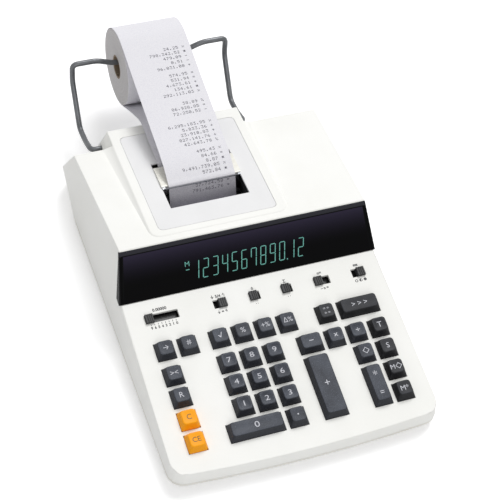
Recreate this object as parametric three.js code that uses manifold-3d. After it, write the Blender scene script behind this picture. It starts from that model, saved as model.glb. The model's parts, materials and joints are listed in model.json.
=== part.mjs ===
// Desktop printing calculator: a low wedge-shaped case with a fluorescent display,
// thirty-three keys, six slide switches and a printer fed from a paper roll on two wire arms.
// Lengths are millimetres and angles are degrees. X runs to the right, Y to the back, Z up.
// The origin is the centre of the whole machine's footprint, on the surface it stands on.

import * as THREE from 'three';
import { mergeVertices } from 'three/addons/utils/BufferGeometryUtils.js';
import Module from 'manifold-3d';

const wasm = await Module();
wasm.setup();

// Fits shared by all pieces
const seatGap = 0.3;          // between faces that rest on each other
const slideGap = 0.35;        // around keys, knobs and stems
const overrun = 30;           // how far cutting tools reach past the work
const skin = 1.2;             // thin ribs and ledges

// Case
const wall = 2.5;
const partingHeight = 9.5;
const frontCornerRadius = 13;
const frontBow = 4.7;
const sideDraft = 7;
const deckFrontHeight = 20.5;
const deckTilt = 6.9;
const deckRun = 150.9;
const displayLength = 45.3;
const displayAngle = 52.8;
const topRun = 114;
const topFall = 9.5;
const rearSlope = 25.5;
const bevelHeight = 24;       // of the slanting cuts at the two rear corners
const bevelRun = 46.7;
const bevelWidth = 14;
const footHeight = 3;
const footRadius = 9;
const footInset = 16;
const underCut = 7;
const rimDepth = 3;
const floorThickness = 2.2;
const bossRadius = 3.5;

// Display
const windowThickness = 2.4;
const glassLength = 128;
const glassHeight = 24;
const glassDepth = 7;
const glassRise = 5.5;
const sightHeight = 20;
const sightLength = 118;

// Keys
const keyPitch = 19;
const keyGap = 3.8;
const keyHeight = 6.6;
const keyTop = 11.6;
const keyTopShift = 0.7;
const keyDish = 0.9;
const keyCornerRadius = 1.6;
const keyTravel = 2.5;
const keyFlangeLip = 0.7;
const keyFlangeThickness = 0.8;
const keyStem = 5;
const keyStemReach = 1.6;
const keyboardMargin = 19.5;
const topRowShift = 3;
const leftMargin = 18.5;
const rightMargin = 17.8;
const numberBlockGap = 7;
const signBlockGap = 10;
const operatorBlockGap = 3.5;
const signKeyWidth = 20;
const zeroKeyReach = 11;

// Slide switches
const slotDepth = 7.5;
const slotAhead = 18.9;
const knobWidth = 6.6;
const knobHeight = 2.6;
const knobFootThickness = 2.4;
const decimalSlotLength = 28;
const roundingSlotLength = 11.2;
const shortSlotLength = 9.2;
const itemSlotLength = 13.8;
const printSlotLength = 11.3;
// Left ends of the slots, as shares of the width of the case from its middle
const slotShares = [-0.4178, -0.1631, -0.0284, 0.0947, 0.2209, 0.3689];

// Boards under the keys
const guidePlateThickness = 1.5;
const matThickness = 0.8;
const domeRadius = 4.6;
const domeTopRadius = 3;
const boardThickness = 1.6;
const boardSide = 14.5;
const boardMargin = 12;
const boardRear = 4.9;
const guideMargin = 4.5;

// Raised printer housing
const housingCentre = -17.5;
const housingWidth = 115;
const housingSetback = 6;
const housingLift = 0.8;
const housingFall = 6.2;
const housingCornerRadius = 7;
const housingSkirt = 12;
const housingWall = 3.2;
const tailDraft = 4.4;
const tailSlope = 20;
const tailReach = 24;
const tailOverhang = 13.5;

// Cover in the top of the housing
const coverThickness = 1.6;
const coverSide = 7.5;
const coverSetback = 5.5;
const coverRear = 9.5;
const coverCornerRadius = 4;
const coverLedge = 2.6;
const windowMargin = 4.75;
const windowSetback = 20.5;
const windowRun = 23;
const slotMargin = 5.25;
const slotRun = 5.6;
const tearBarLength = 22;
const tearBarHeight = 1.6;
const tearBarHeel = 1.1;
const tearBarNose = 1;
const tearBarTooth = 0.8;

// Printer mechanism
const printerCentre = -17.5;
const paperWidth = 57.5;
const paperThickness = 0.4;
const platenRadius = 8;
const platenMargin = 1.25;
const platenAhead = 3.35;
const platenDepth = 19.3;
const drumRadius = 9;
const inkRadius = 6;
const inkAngle = 135;
const spindleRadius = 2;
const frameClearance = 4;
const framePlate = 2;
const frameAhead = 33;
const frameBehind = 33;
const frameBelow = 26;
const frameAbove = 12;
const motorRadius = 12;
const motorLength = 32;
const motorBoss = 3;
const motorBehind = 21;
const motorBelow = 11;
const transformerWidth = 52;
const transformerRun = 44;
const transformerHeight = 40;
const transformerSide = 10;
const transformerAhead = 31.6;
const coilInset = 11;
const coilReach = 7;
const coilHeight = 28;

// Paper roll on its arms
const rollRadius = 33;
const rollBore = 8.75;
const rollBehindTail = 65.7;
const rollHeight = 61.8;
const wireRadius = 2;
const wireSide = 11;
const wireRise = 12.7;
const wireShoulder = 15;
const wireClearance = 3.5;
const wireReach = 12;
const pivotInset = 6.2;
const pivotHeight = 36.5;
const pivotDepth = 6;
const bendRadius = 5;
// Bends of an arm in the side view, as shares of the way from the pivot to the top of the arm
const armShares = [[0.265, -0.184], [0.51, -0.24], [0.95, 0.56]];

// Paper in its way from the roll to the printer, and printed from there back over the roll
const feedArch = 4;
const feedWrap = 24;
const tapeTouchAngle = 98;
const tapeDrop = 26;
const tapeFlare = 2.5;
// Along the run from the inlet slot to the tail's edge, and as a share of the arch over the cover
const feedShares = [[1, 1], [0.75, 0.95], [0.5, 0.66], [0.2, 0.45]];
// From the tear edge to where the tape meets the roll, as shares of the run and of the rise
const tapeShares = [[0.117, 0.28], [0.38, 0.51], [0.68, 0.73]];

// Cord inlet
const inletRadius = 6;
const inletCollar = 8;
const inletLip = 7.2;
const inletBore = 2.6;
const inletFlange = 2;
const inletShift = 2;
const inletHeight = 26;

const quarterTurn = 90;
const halfTurn = 2 * quarterTurn;
const tangent = (angle) => Math.tan(THREE.MathUtils.degToRad(angle));
const cosine = (angle) => Math.cos(THREE.MathUtils.degToRad(angle));
const sine = (angle) => Math.sin(THREE.MathUtils.degToRad(angle));
const radians = THREE.MathUtils.degToRad;

// The keyboard sets the width of the case, and its blocks lie along the front from the left
const keySkirt = keyPitch - keyGap;
const rightColumns = 2 * keyPitch + keySkirt;
const numberFromLeft = leftMargin + 2 * keyPitch + numberBlockGap;
const signFromLeft = numberFromLeft + 3 * keyPitch + signBlockGap;
const operatorFromLeft = signFromLeft + signKeyWidth + operatorBlockGap;
const caseWidth = operatorFromLeft + rightColumns + rightMargin;
const leftBlock = leftMargin - caseWidth / 2;
const numberBlock = numberFromLeft - caseWidth / 2;
const signBlock = signFromLeft - caseWidth / 2;
const operatorBlock = operatorFromLeft - caseWidth / 2;
const zeroKeyWidth = keyPitch + keySkirt + zeroKeyReach;
const slotRow = deckRun - slotAhead;

// Widths inside the case follow the case, the housing or the paper
const boardWidth = caseWidth - 2 * boardSide;
const coverWidth = housingWidth - 2 * coverSide;
const windowWidth = paperWidth + 2 * windowMargin;
const slotWidth = paperWidth + 2 * slotMargin;
const platenLength = paperWidth + 2 * platenMargin;
const frameHalfSpan = platenLength / 2 + frameClearance;
const transformerCentre = caseWidth / 2 - wall - transformerSide - transformerWidth / 2;
const inletCentre = transformerCentre - inletShift;
const wireSpread = housingWidth / 2 + wireSide;
const housingRun = topRun - housingSetback + tailOverhang;
const coverLength = housingRun - coverSetback - coverRear;
const windowRear = coverSetback + windowSetback + windowRun;
const slotRear = windowRear + tearBarLength + slotRun;

// Corners of the case seen from the side, as [Y, Z]
const frontDraftRun = (deckFrontHeight - partingHeight) * tangent(sideDraft);
const deckFront = [frontDraftRun, deckFrontHeight];
const displayFoot = [deckFront[0] + deckRun, deckFront[1] + deckRun * tangent(deckTilt)];
const displayHead = [
  displayFoot[0] + displayLength * cosine(displayAngle),
  displayFoot[1] + displayLength * sine(displayAngle),
];
const rearTop = [displayHead[0] + topRun, displayHead[1] - topRun * tangent(topFall)];
const rearAt = (height) => rearTop[0] + (rearTop[1] - height) * tangent(rearSlope);
const topDeckAt = (y) => displayHead[1] - (y - displayHead[0]) * tangent(topFall);
const housingFront = displayHead[0] + housingSetback;
const housingHeight = topDeckAt(housingFront) + housingLift;
const housingPlaneAt = (y) => housingHeight - (y - housingFront) * tangent(housingFall);
const tailTop = [housingFront + housingRun, housingPlaneAt(housingFront + housingRun)];
const tailAt = (height) => tailTop[0] + (tailTop[1] - height) * tangent(tailSlope);
const rollAxis = [tailTop[0] + rollBehindTail, rollHeight];
const pivot = [tailAt(pivotHeight) - pivotInset, pivotHeight];
const wireGripHeight = rollAxis[1] + rollBore - wireRadius - seatGap;
const armTop = [rollAxis[0], rollAxis[1] + wireRise];
const platenAxis = [
  housingFront + windowRear * cosine(housingFall) - platenAhead,
  housingPlaneAt(housingFront + windowRear) - platenDepth,
];
const frameFront = platenAxis[0] - frameAhead;
const frameRear = platenAxis[0] + frameBehind;
const frameBottom = platenAxis[1] - frameBelow;
const frameTop = platenAxis[1] + frameAbove;
const transformerSetback = rearTop[0] - transformerAhead;

// Frames: the keyboard lies along the sloping deck, the housing along its own top
const keyboardMatrix = new THREE.Matrix4()
  .makeRotationX(radians(deckTilt))
  .setPosition(0, deckFront[0], deckFront[1]);
const housingMatrix = new THREE.Matrix4()
  .makeRotationX(-radians(housingFall))
  .setPosition(housingCentre, housingFront, housingHeight);

// Turns a closed geometry into a solid that can be joined and cut.
function solid(geometry) {
  const plain = geometry.clone();
  plain.deleteAttribute('normal');
  plain.deleteAttribute('uv');
  const merged = mergeVertices(plain, 1e-4);
  return new wasm.Manifold(new wasm.Mesh({
    numProp: 3,
    vertProperties: new Float32Array(merged.attributes.position.array),
    triVerts: new Uint32Array(merged.index.array),
  }));
}

// Turns a solid back into a geometry.
function surface(body) {
  const mesh = body.getMesh();
  const geometry = new THREE.BufferGeometry();
  geometry.setAttribute('position', new THREE.BufferAttribute(new Float32Array(mesh.vertProperties), 3));
  geometry.setIndex(new THREE.BufferAttribute(new Uint32Array(mesh.triVerts), 1));
  return geometry;
}

const join = (bodies) => bodies.reduce((sum, body) => sum.add(body));
const cut = (body, tools) => tools.reduce((rest, tool) => rest.subtract(tool), body);

// A solid through closed rings of the same number of points, each ring a flat convex outline.
function loft(rings) {
  const count = rings[0].length;
  const points = rings.flat();
  const faces = [];
  for (let j = 1; j < count - 1; j++) faces.push(0, j + 1, j);
  for (let level = 0; level < rings.length - 1; level++) {
    for (let j = 0; j < count; j++) {
      const low = level * count;
      const high = low + count;
      const next = (j + 1) % count;
      faces.push(low + j, low + next, high + next, low + j, high + next, high + j);
    }
  }
  const top = (rings.length - 1) * count;
  for (let j = 1; j < count - 1; j++) faces.push(top, top + j, top + j + 1);
  const geometry = new THREE.BufferGeometry();
  geometry.setAttribute('position', new THREE.Float32BufferAttribute(points.flat(), 3));
  geometry.setIndex(faces);
  return geometry;
}

// A rounded rectangle as a ring of points at one height.
function roundedRing(width, depth, radius, z, centreX = 0, centreY = 0, steps = 1) {
  const ring = [];
  const corners = [[1, -1, -1], [1, 1, 0], [-1, 1, 1], [-1, -1, 2]];
  for (const [sideX, sideY, turns] of corners) {
    for (let step = 0; step <= steps; step++) {
      const angle = quarterTurn * (turns + step / steps);
      ring.push([
        centreX + sideX * (width / 2 - radius) + radius * cosine(angle),
        centreY + sideY * (depth / 2 - radius) + radius * sine(angle),
        z,
      ]);
    }
  }
  return ring;
}

// An outline of [Y, Z] points, extruded along X between two places.
function prismAlongX(outline, fromX, toX) {
  const shape = new THREE.Shape(outline.map(([y, z]) => new THREE.Vector2(y, z)));
  const geometry = new THREE.ExtrudeGeometry(shape, { depth: toX - fromX, bevelEnabled: false });
  const turn = new THREE.Matrix4().makeBasis(
    new THREE.Vector3(0, 1, 0),
    new THREE.Vector3(0, 0, 1),
    new THREE.Vector3(1, 0, 0),
  );
  return geometry.applyMatrix4(turn.setPosition(fromX, 0, 0));
}

function block(fromX, toX, fromY, toY, fromZ, toZ) {
  const geometry = new THREE.BoxGeometry(toX - fromX, toY - fromY, toZ - fromZ);
  return geometry.translate((fromX + toX) / 2, (fromY + toY) / 2, (fromZ + toZ) / 2);
}

// A cylinder along X round the point [Y, Z].
function rodAlongX(radius, fromX, toX, [y, z], sides = 32) {
  const geometry = new THREE.CylinderGeometry(radius, radius, toX - fromX, sides);
  return geometry.rotateZ(Math.PI / 2).translate((fromX + toX) / 2, y, z);
}

function post(radius, x, y, fromZ, toZ, sides = 16) {
  const geometry = new THREE.CylinderGeometry(radius, radius, toZ - fromZ, sides);
  return geometry.rotateX(Math.PI / 2).translate(x, y, (fromZ + toZ) / 2);
}

// A thin sheet that follows a line of [Y, Z] points, as an outline with its thickness.
function sheetOutline(line, thickness) {
  const left = [];
  const right = [];
  line.forEach(([y, z], i) => {
    const [beforeY, beforeZ] = line[Math.max(i - 1, 0)];
    const [afterY, afterZ] = line[Math.min(i + 1, line.length - 1)];
    const length = Math.hypot(afterY - beforeY, afterZ - beforeZ);
    const offsetY = (-(afterZ - beforeZ) / length) * (thickness / 2);
    const offsetZ = ((afterY - beforeY) / length) * (thickness / 2);
    left.push([y + offsetY, z + offsetZ]);
    right.unshift([y - offsetY, z - offsetZ]);
  });
  return left.concat(right);
}

// Points on an arc round a [Y, Z] centre.
function arc([y, z], radius, fromAngle, toAngle, steps) {
  return Array.from({ length: steps + 1 }, (_, i) => {
    const angle = fromAngle + ((toAngle - fromAngle) * i) / steps;
    return [y + radius * cosine(angle), z + radius * sine(angle)];
  });
}

function meshOf(name, geometry, color, roughness, metalness = 0) {
  const flat = geometry.index ? geometry.toNonIndexed() : geometry;
  flat.deleteAttribute('uv');
  flat.computeVertexNormals();
  const material = new THREE.MeshStandardMaterial({ color, roughness, metalness });
  const mesh = new THREE.Mesh(flat, material);
  mesh.name = name;
  return mesh;
}

const colors = {
  ivory: 0xecebe4, lowerIvory: 0xdfddd4, gloss: 0x07080a, glass: 0x23463f, charcoal: 0x3c3d41,
  amber: 0xf7a427, knob: 0x2b2c2e, frame: 0x9a9da1, rubber: 0x35363a, board: 0x2f6b45,
  plate: 0xb9bcc0, cream: 0xe4dfc8, paper: 0xf2f2f0, wire: 0x5b5e62, steel: 0xa6a9ad,
  ink: 0x2a2140, copper: 0x8f5b34,
};

// Plan outline of the case at one height, bowed and rounded at the front.
function planRing(height, inset, front, rear) {
  const half = caseWidth / 2 - (height - partingHeight) * tangent(sideDraft) - inset;
  const radius = frontCornerRadius - inset;
  const bowAt = (x) => front + frontBow * (x / (caseWidth / 2)) ** 2;
  const straight = half - radius;
  const ring = [];
  const bowSteps = 6;
  for (let i = 0; i <= bowSteps; i++) {
    const x = -straight + (2 * straight * i) / bowSteps;
    ring.push([x, bowAt(x), height]);
  }
  const cornerSteps = 5;
  for (let i = 1; i <= cornerSteps; i++) {
    const angle = quarterTurn * (i / cornerSteps - 1);
    ring.push([straight + radius * cosine(angle), bowAt(straight) + radius + radius * sine(angle), height]);
  }
  ring.push([half, rear, height], [-half, rear, height]);
  for (let i = 0; i < cornerSteps; i++) {
    const angle = halfTurn + (quarterTurn * i) / cornerSteps;
    ring.push([-straight + radius * cosine(angle), bowAt(-straight) + radius + radius * sine(angle), height]);
  }
  return ring;
}

// The drafted outside of the case, drawn in by a wall, between two heights.
function caseEnvelope(inset, fromHeight, toHeight) {
  const rear = rearAt(partingHeight) + overrun;
  const frontOf = (height) => inset + (height - partingHeight) * tangent(sideDraft);
  return solid(loft([
    planRing(fromHeight, inset, frontOf(fromHeight), rear),
    planRing(toHeight, inset, frontOf(toHeight), rear),
  ]));
}

// Takes off both lower rear corners of the case, along planes drawn in by a wall.
function bevelled(body, inset) {
  const half = caseWidth / 2;
  const high = half - (bevelHeight - partingHeight) * tangent(sideDraft);
  return [-1, 1].reduce((rest, side) => {
    const plane = new THREE.Plane().setFromCoplanarPoints(
      new THREE.Vector3(side * high, rearAt(bevelHeight), bevelHeight),
      new THREE.Vector3(side * half, rearAt(partingHeight) - bevelRun, partingHeight),
      new THREE.Vector3(side * (half - bevelWidth), rearAt(partingHeight), partingHeight),
    );
    if (plane.constant < 0) plane.negate();
    return rest.trimByPlane(plane.normal.toArray(), inset - plane.constant);
  }, body);
}

// Where two lines in the side view cross, each given by a [Y, Z] point and its rise per length.
function crossing([y1, z1], rate1, [y2, z2], rate2) {
  const y = (z2 - z1 + rate1 * y1 - rate2 * y2) / (rate1 - rate2);
  return [y, z1 + rate1 * (y - y1)];
}

// Side outline of the upper case, drawn in by a depth from each outside face.
function sideOutline(inset, bottom) {
  const deckRate = tangent(deckTilt);
  const displayRate = tangent(displayAngle);
  const topRate = -tangent(topFall);
  const rearRate = -1 / tangent(rearSlope);
  const deckPoint = [displayFoot[0], displayFoot[1] - inset / cosine(deckTilt)];
  const displayPoint = [displayHead[0] + inset / sine(displayAngle), displayHead[1]];
  const topPoint = [displayHead[0], displayHead[1] - inset / cosine(topFall)];
  const rearPoint = [rearTop[0] - inset / cosine(rearSlope), rearTop[1]];
  const foot = crossing(deckPoint, deckRate, displayPoint, displayRate);
  const head = crossing(displayPoint, displayRate, topPoint, topRate);
  const back = crossing(topPoint, topRate, rearPoint, rearRate);
  return [
    [-overrun, bottom],
    [rearAt(bottom) - inset / cosine(rearSlope), bottom],
    back, head, foot,
    [-overrun, foot[1] - deckRate * (foot[0] + overrun)],
  ];
}

// The raised block over the printer, with flared sides, and its tail behind the case.
function housingBlock(inset, bottom) {
  const width = housingWidth - 2 * inset;
  const front = inset;
  const length = housingRun / cosine(housingFall) + overrun;
  const spread = housingSkirt - inset;
  const centreY = (front + length) / 2;
  const frustum = solid(loft([
    roundedRing(width + 2 * spread, length - front + 2 * spread, housingCornerRadius + spread,
      -inset - spread, 0, centreY, 3),
    roundedRing(width, length - front, housingCornerRadius, -inset, 0, centreY, 3),
  ]).applyMatrix4(housingMatrix));
  const rearShift = inset / cosine(rearSlope);
  const clip = solid(prismAlongX([
    [housingFront - overrun, bottom],
    [rearAt(bottom) - rearShift, bottom],
    [rearAt(housingHeight) - rearShift, housingHeight],
    [housingFront - overrun, housingHeight],
  ], housingCentre - caseWidth, housingCentre + caseWidth));
  const roof = inset / cosine(housingFall);
  const back = inset / cosine(tailSlope);
  const tailRing = (height, fore, aft) => {
    const half = housingWidth / 2 - inset + (tailTop[1] - height) * tangent(tailDraft);
    return [
      [housingCentre - half, fore, height], [housingCentre + half, fore, height],
      [housingCentre + half, aft, height], [housingCentre - half, aft, height],
    ];
  };
  const tailFront = rearTop[0] - tailReach;
  const topY = tailTop[0] - back - roof * tangent(tailSlope);
  const topZ = (y) => housingPlaneAt(y) - roof;
  const lid = tailRing(tailTop[1], tailFront, topY);
  for (const point of lid) point[2] = topZ(point[1]);
  const tail = solid(loft([tailRing(bottom, tailFront, tailAt(bottom) - back), lid]));
  return frustum.intersect(clip).add(tail);
}

// Keys
const keySurface = -(wall + seatGap);
const flangeBottom = keySurface - keyFlangeThickness;
const guideTop = flangeBottom - keyTravel - seatGap;
const stemBottom = guideTop - guidePlateThickness - keyStemReach;
const matTop = stemBottom - keyTravel - seatGap;
const boardTop = matTop - matThickness - seatGap;
const boardBottom = boardTop - boardThickness;
const rowFront = (row) => (row === 0
  ? keyboardMargin + 4 * keyPitch + topRowShift
  : keyboardMargin + (4 - row) * keyPitch);
const spanOf = (count) => (count - 1) * keyPitch + keySkirt;
const guideSpan = [rowFront(4) - guideMargin, rowFront(0) + keySkirt + guideMargin];

// Name, left edge, row of its front edge, width, depth, dished top, amber
const keyRows = [
  ['key_shift_right', leftBlock, 0, keySkirt, keySkirt],
  ['key_number_sign', leftBlock + keyPitch, 0, keySkirt, keySkirt],
  ['key_square_root', numberBlock, 0, keySkirt, keySkirt],
  ['key_percent', numberBlock + keyPitch, 0, keySkirt, keySkirt],
  ['key_markup', numberBlock + 2 * keyPitch, 0, keySkirt, keySkirt],
  ['key_percent_change', numberBlock + 3 * keyPitch, 0, keySkirt, keySkirt],
  ['key_mode', operatorBlock, 0, keySkirt, keySkirt],
  ['key_paper_feed', operatorBlock + keyPitch, 0, spanOf(2), keySkirt],
  ['key_reverse', leftBlock, 1, keySkirt, keySkirt],
  ['key_7', numberBlock, 1, keySkirt, keySkirt, true],
  ['key_8', numberBlock + keyPitch, 1, keySkirt, keySkirt, true],
  ['key_9', numberBlock + 2 * keyPitch, 1, keySkirt, keySkirt, true],
  ['key_minus', signBlock, 1, signKeyWidth, keySkirt],
  ['key_multiply', operatorBlock, 1, keySkirt, keySkirt, true],
  ['key_divide', operatorBlock + keyPitch, 1, keySkirt, keySkirt, true],
  ['key_total', operatorBlock + 2 * keyPitch, 1, keySkirt, keySkirt, true],
  ['key_recall', leftBlock, 2, keySkirt, keySkirt],
  ['key_4', numberBlock, 2, keySkirt, keySkirt, true],
  ['key_5', numberBlock + keyPitch, 2, keySkirt, keySkirt, true],
  ['key_6', numberBlock + 2 * keyPitch, 2, keySkirt, keySkirt, true],
  ['key_subtotal', operatorBlock + keyPitch, 2, keySkirt, keySkirt],
  ['key_store', operatorBlock + 2 * keyPitch, 2, keySkirt, keySkirt],
  ['key_clear', leftBlock, 3, keySkirt, keySkirt, false, true],
  ['key_1', numberBlock, 3, keySkirt, keySkirt, true],
  ['key_2', numberBlock + keyPitch, 3, keySkirt, keySkirt, true],
  ['key_3', numberBlock + 2 * keyPitch, 3, keySkirt, keySkirt, true],
  ['key_memory_subtotal', operatorBlock + 2 * keyPitch, 3, keySkirt, keySkirt],
  ['key_clear_entry', leftBlock, 4, keySkirt, keySkirt, false, true],
  ['key_0', numberBlock + keyPitch + keySkirt - zeroKeyWidth, 4, zeroKeyWidth, keySkirt],
  ['key_point', numberBlock + 2 * keyPitch, 4, keySkirt, keySkirt],
  ['key_memory_total', operatorBlock + 2 * keyPitch, 4, keySkirt, keySkirt],
  ['key_plus', signBlock, 4, signKeyWidth, spanOf(3)],
  ['key_equals', operatorBlock + keyPitch, 4, keySkirt, spanOf(2)],
].map(([name, left, row, width, depth, dished = false, amber = false]) => ({
  name, width, depth, dished, amber, x: left + width / 2, y: rowFront(row) + depth / 2,
}));

// One key: a blade-shaped stem, a flange that stays under the deck, and a tapered cap.
function keyShape({ width, depth, dished }) {
  const taper = keySkirt - keyTop;
  const topWidth = width - taper;
  const topDepth = depth - taper;
  const stemWidth = keyStem + (width - keySkirt);
  const stemDepth = keyStem + (depth - keySkirt);
  const lip = 2 * keyFlangeLip;
  const corner = keyCornerRadius;
  const shift = keyTopShift;
  const rim = keyHeight - (dished ? 0 : keyDish / 2);
  const rings = [
    roundedRing(stemWidth, stemDepth, corner / 2, stemBottom),
    roundedRing(stemWidth, stemDepth, corner / 2, flangeBottom),
    roundedRing(width + lip, depth + lip, corner, flangeBottom),
    roundedRing(width + lip, depth + lip, corner, keySurface),
    roundedRing(width, depth, corner, keySurface),
    roundedRing(width, depth, corner, corner / 2),
    roundedRing(topWidth + corner / 2, topDepth + corner / 2, corner * 1.5, rim - corner / 2, 0, shift),
    roundedRing(topWidth, topDepth, corner * 1.5, rim, 0, shift),
  ];
  if (dished) {
    rings.push(roundedRing(topWidth - corner, topDepth - corner, topDepth / 3, rim, 0, shift));
    rings.push(roundedRing(topWidth / 2, topDepth / 2, topDepth / 6, rim - keyDish, 0, shift));
  }
  return loft(rings);
}

// Slide switches: name, length of the slot, and whether the knob stands at its left end
const slideRows = [
  ['decimal_knob', decimalSlotLength, true],
  ['rounding_knob', roundingSlotLength, false],
  ['add_mode_knob', shortSlotLength, true],
  ['rate_knob', shortSlotLength, true],
  ['item_count_knob', itemSlotLength, true],
  ['print_knob', printSlotLength, false],
].map(([name, length, atLeft], i) => {
  const left = slotShares[i] * caseWidth;
  const fromLeft = slideGap + knobWidth / 2;
  return { name, left, length, x: left + (atLeft ? fromLeft : length - fromLeft) };
});
const slotCentre = slotRow + slotDepth / 2;
const knobDepth = slotDepth - 2 * slideGap;
const footBottom = keySurface - knobFootThickness;

function knobShape() {
  const grip = knobHeight - slideGap;
  const ring = (width, depth, z) => roundedRing(width, depth, skin / 2, z, 0, slotCentre);
  return loft([
    ring(knobWidth, slotDepth + 2 * skin, footBottom),
    ring(knobWidth, slotDepth + 2 * skin, keySurface),
    ring(knobWidth, knobDepth, keySurface),
    ring(knobWidth, knobDepth, grip),
    ring(knobWidth - skin, knobDepth - skin, knobHeight),
  ]);
}

// Places between the key blocks where the deck and the floor carry posts
const leftGap = (leftBlock + keySkirt + numberBlock + keyPitch + keySkirt - zeroKeyWidth) / 2;
const middleGap = (numberBlock + 3 * keyPitch + keySkirt + operatorBlock) / 2;
const rightGap = (signBlock + signKeyWidth + operatorBlock + keyPitch) / 2;
const bossPlaces = [
  [leftGap, rowFront(4) + keySkirt / 2],
  [leftGap, rowFront(2) + keySkirt / 2],
  [middleGap, rowFront(0) + keySkirt / 2],
  [rightGap, rowFront(4) + keySkirt],
  [rightGap, rowFront(2) + keySkirt / 2],
];

// Display recess, across the full width of the case
function displaySlab(fromDepth, toDepth, fromRun, toRun, halfWidth) {
  const along = [cosine(displayAngle), sine(displayAngle)];
  const inward = [sine(displayAngle), -cosine(displayAngle)];
  const at = (run, depth) => [
    displayFoot[0] + along[0] * run + inward[0] * depth,
    displayFoot[1] + along[1] * run + inward[1] * depth,
  ];
  return prismAlongX([
    at(fromRun, toDepth), at(toRun, toDepth), at(toRun, fromDepth), at(fromRun, fromDepth),
  ], -halfWidth, halfWidth);
}

// The cord's way in lies square to the sloping rear wall
const inletMatrix = new THREE.Matrix4()
  .makeRotationX(radians(rearSlope))
  .setPosition(inletCentre, rearAt(inletHeight), inletHeight);
const toHousing = (geometry) => geometry.applyMatrix4(housingMatrix);
const toKeyboard = (geometry) => geometry.applyMatrix4(keyboardMatrix);
const printerShift = printerCentre - housingCentre;

function upperCase() {
  const windowSeat = windowThickness + seatGap;
  const body = (inset, bottom) => bevelled(
    caseEnvelope(inset, bottom, displayHead[1] + overrun)
      .intersect(solid(prismAlongX(sideOutline(inset, bottom), -caseWidth, caseWidth))),
    inset,
  );
  const low = partingHeight - seatGap;
  const outer = body(0, partingHeight).add(housingBlock(0, partingHeight));
  const inner = body(wall, low).add(housingBlock(housingWall, low));
  // The display wall steps back behind the window that covers it
  const seat = solid(displaySlab(-overrun, windowSeat, seatGap, displayLength - skin, caseWidth));
  const backing = outer.intersect(solid(
    displaySlab(windowSeat, windowSeat + wall, -wall, displayLength, caseWidth)));
  const sight = solid(displaySlab(-overrun, windowSeat + 2 * wall,
    glassRise + (glassHeight - sightHeight) / 2, glassRise + (glassHeight + sightHeight) / 2,
    sightLength / 2));
  const bosses = bossPlaces.map(([x, y]) => solid(
    toKeyboard(post(bossRadius, x, y, guideTop + seatGap, -wall / 2))));
  const shell = join([cut(outer, [inner]), backing, ...bosses]);
  const keyHoles = keyRows.map((key) => solid(toKeyboard(block(
    key.x - key.width / 2 - slideGap, key.x + key.width / 2 + slideGap,
    key.y - key.depth / 2 - slideGap, key.y + key.depth / 2 + slideGap,
    -wall - seatGap / 2, overrun))));
  const slots = slideRows.map((slide) => solid(toKeyboard(block(
    slide.left, slide.left + slide.length, slotRow, slotRow + slotDepth,
    -wall - seatGap / 2, overrun))));
  const rebateDepth = coverThickness + seatGap;
  const coverHole = (grow, fromZ, toZ) => solid(toHousing(loft([fromZ, toZ].map((z) => roundedRing(
    coverWidth + 2 * grow, coverLength + 2 * grow, coverCornerRadius,
    z, 0, coverSetback + coverLength / 2, 3)))));
  const armHole = solid(rodAlongX(wireRadius + slideGap,
    housingCentre - housingWidth, housingCentre + housingWidth, pivot, 16));
  const inletHole = solid(new THREE.CylinderGeometry(
    inletRadius + slideGap, inletRadius + slideGap, 4 * inletRadius, 20).applyMatrix4(inletMatrix));
  return surface(cut(shell, [
    seat, sight, ...keyHoles, ...slots,
    coverHole(seatGap, -rebateDepth, overrun), coverHole(-coverLedge, -overrun, overrun),
    armHole, inletHole,
  ]));
}

function lowerCase() {
  const rimTop = partingHeight - seatGap;
  const rimBottom = rimTop - rimDepth;
  const bottom = footHeight;
  const flat = (height, inset) => {
    const ring = planRing(partingHeight, inset, inset, rearAt(partingHeight) - inset);
    return ring.map(([x, y]) => [x, y, height]);
  };
  const tailRing = (height, inset) => {
    const half = housingWidth / 2 + (tailTop[1] - partingHeight) * tangent(tailDraft) - inset;
    const fore = rearTop[0] - tailReach;
    const aft = tailAt(partingHeight) - inset;
    return [
      [housingCentre - half, fore, height], [housingCentre + half, fore, height],
      [housingCentre + half, aft, height], [housingCentre - half, aft, height],
    ];
  };
  const tray = (ringOf, inset, low) => solid(loft([
    ringOf(low, underCut + inset), ringOf(rimBottom + (low - bottom), inset),
    ringOf(rimTop + (low - bottom), inset),
  ]));
  const floor = bottom + floorThickness;
  const outer = bevelled(tray(flat, 0, bottom), 0).add(tray(tailRing, 0, bottom));
  const inner = bevelled(tray(flat, wall, floor), wall).add(tray(tailRing, wall, floor));
  const footX = caseWidth / 2 - footInset - underCut;
  const footRows = [footInset + underCut, rearAt(partingHeight) - footInset - underCut];
  const feet = footRows.flatMap((y) => [-footX, footX].map((x) => solid(
    post(footRadius, x, y, 0, bottom + floorThickness / 2, 24))));
  const boardPosts = bossPlaces.map(([x, y]) => solid(
    toKeyboard(post(bossRadius, x, y, boardBottom - overrun, boardBottom - seatGap))));
  const above = solid(block(-caseWidth, caseWidth, 0, tailAt(0), bottom + floorThickness / 2,
    housingHeight));
  const frameX = frameHalfSpan - bossRadius;
  const framePosts = [frameFront + bossRadius, frameRear - bossRadius].flatMap((y) => (
    [-frameX, frameX].map((x) => solid(post(bossRadius, printerCentre + x, y,
      bottom + floorThickness / 2, frameBottom - seatGap)))));
  const bed = solid(block(
    transformerCentre - transformerWidth / 2, transformerCentre + transformerWidth / 2,
    transformerSetback - transformerRun / 2, transformerSetback + transformerRun / 2,
    bottom + floorThickness / 2, floor + skin));
  const posts = boardPosts.map((body) => body.intersect(above));
  return surface(join([cut(outer, [inner]), ...feet, ...posts, ...framePosts, bed]));
}

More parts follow.
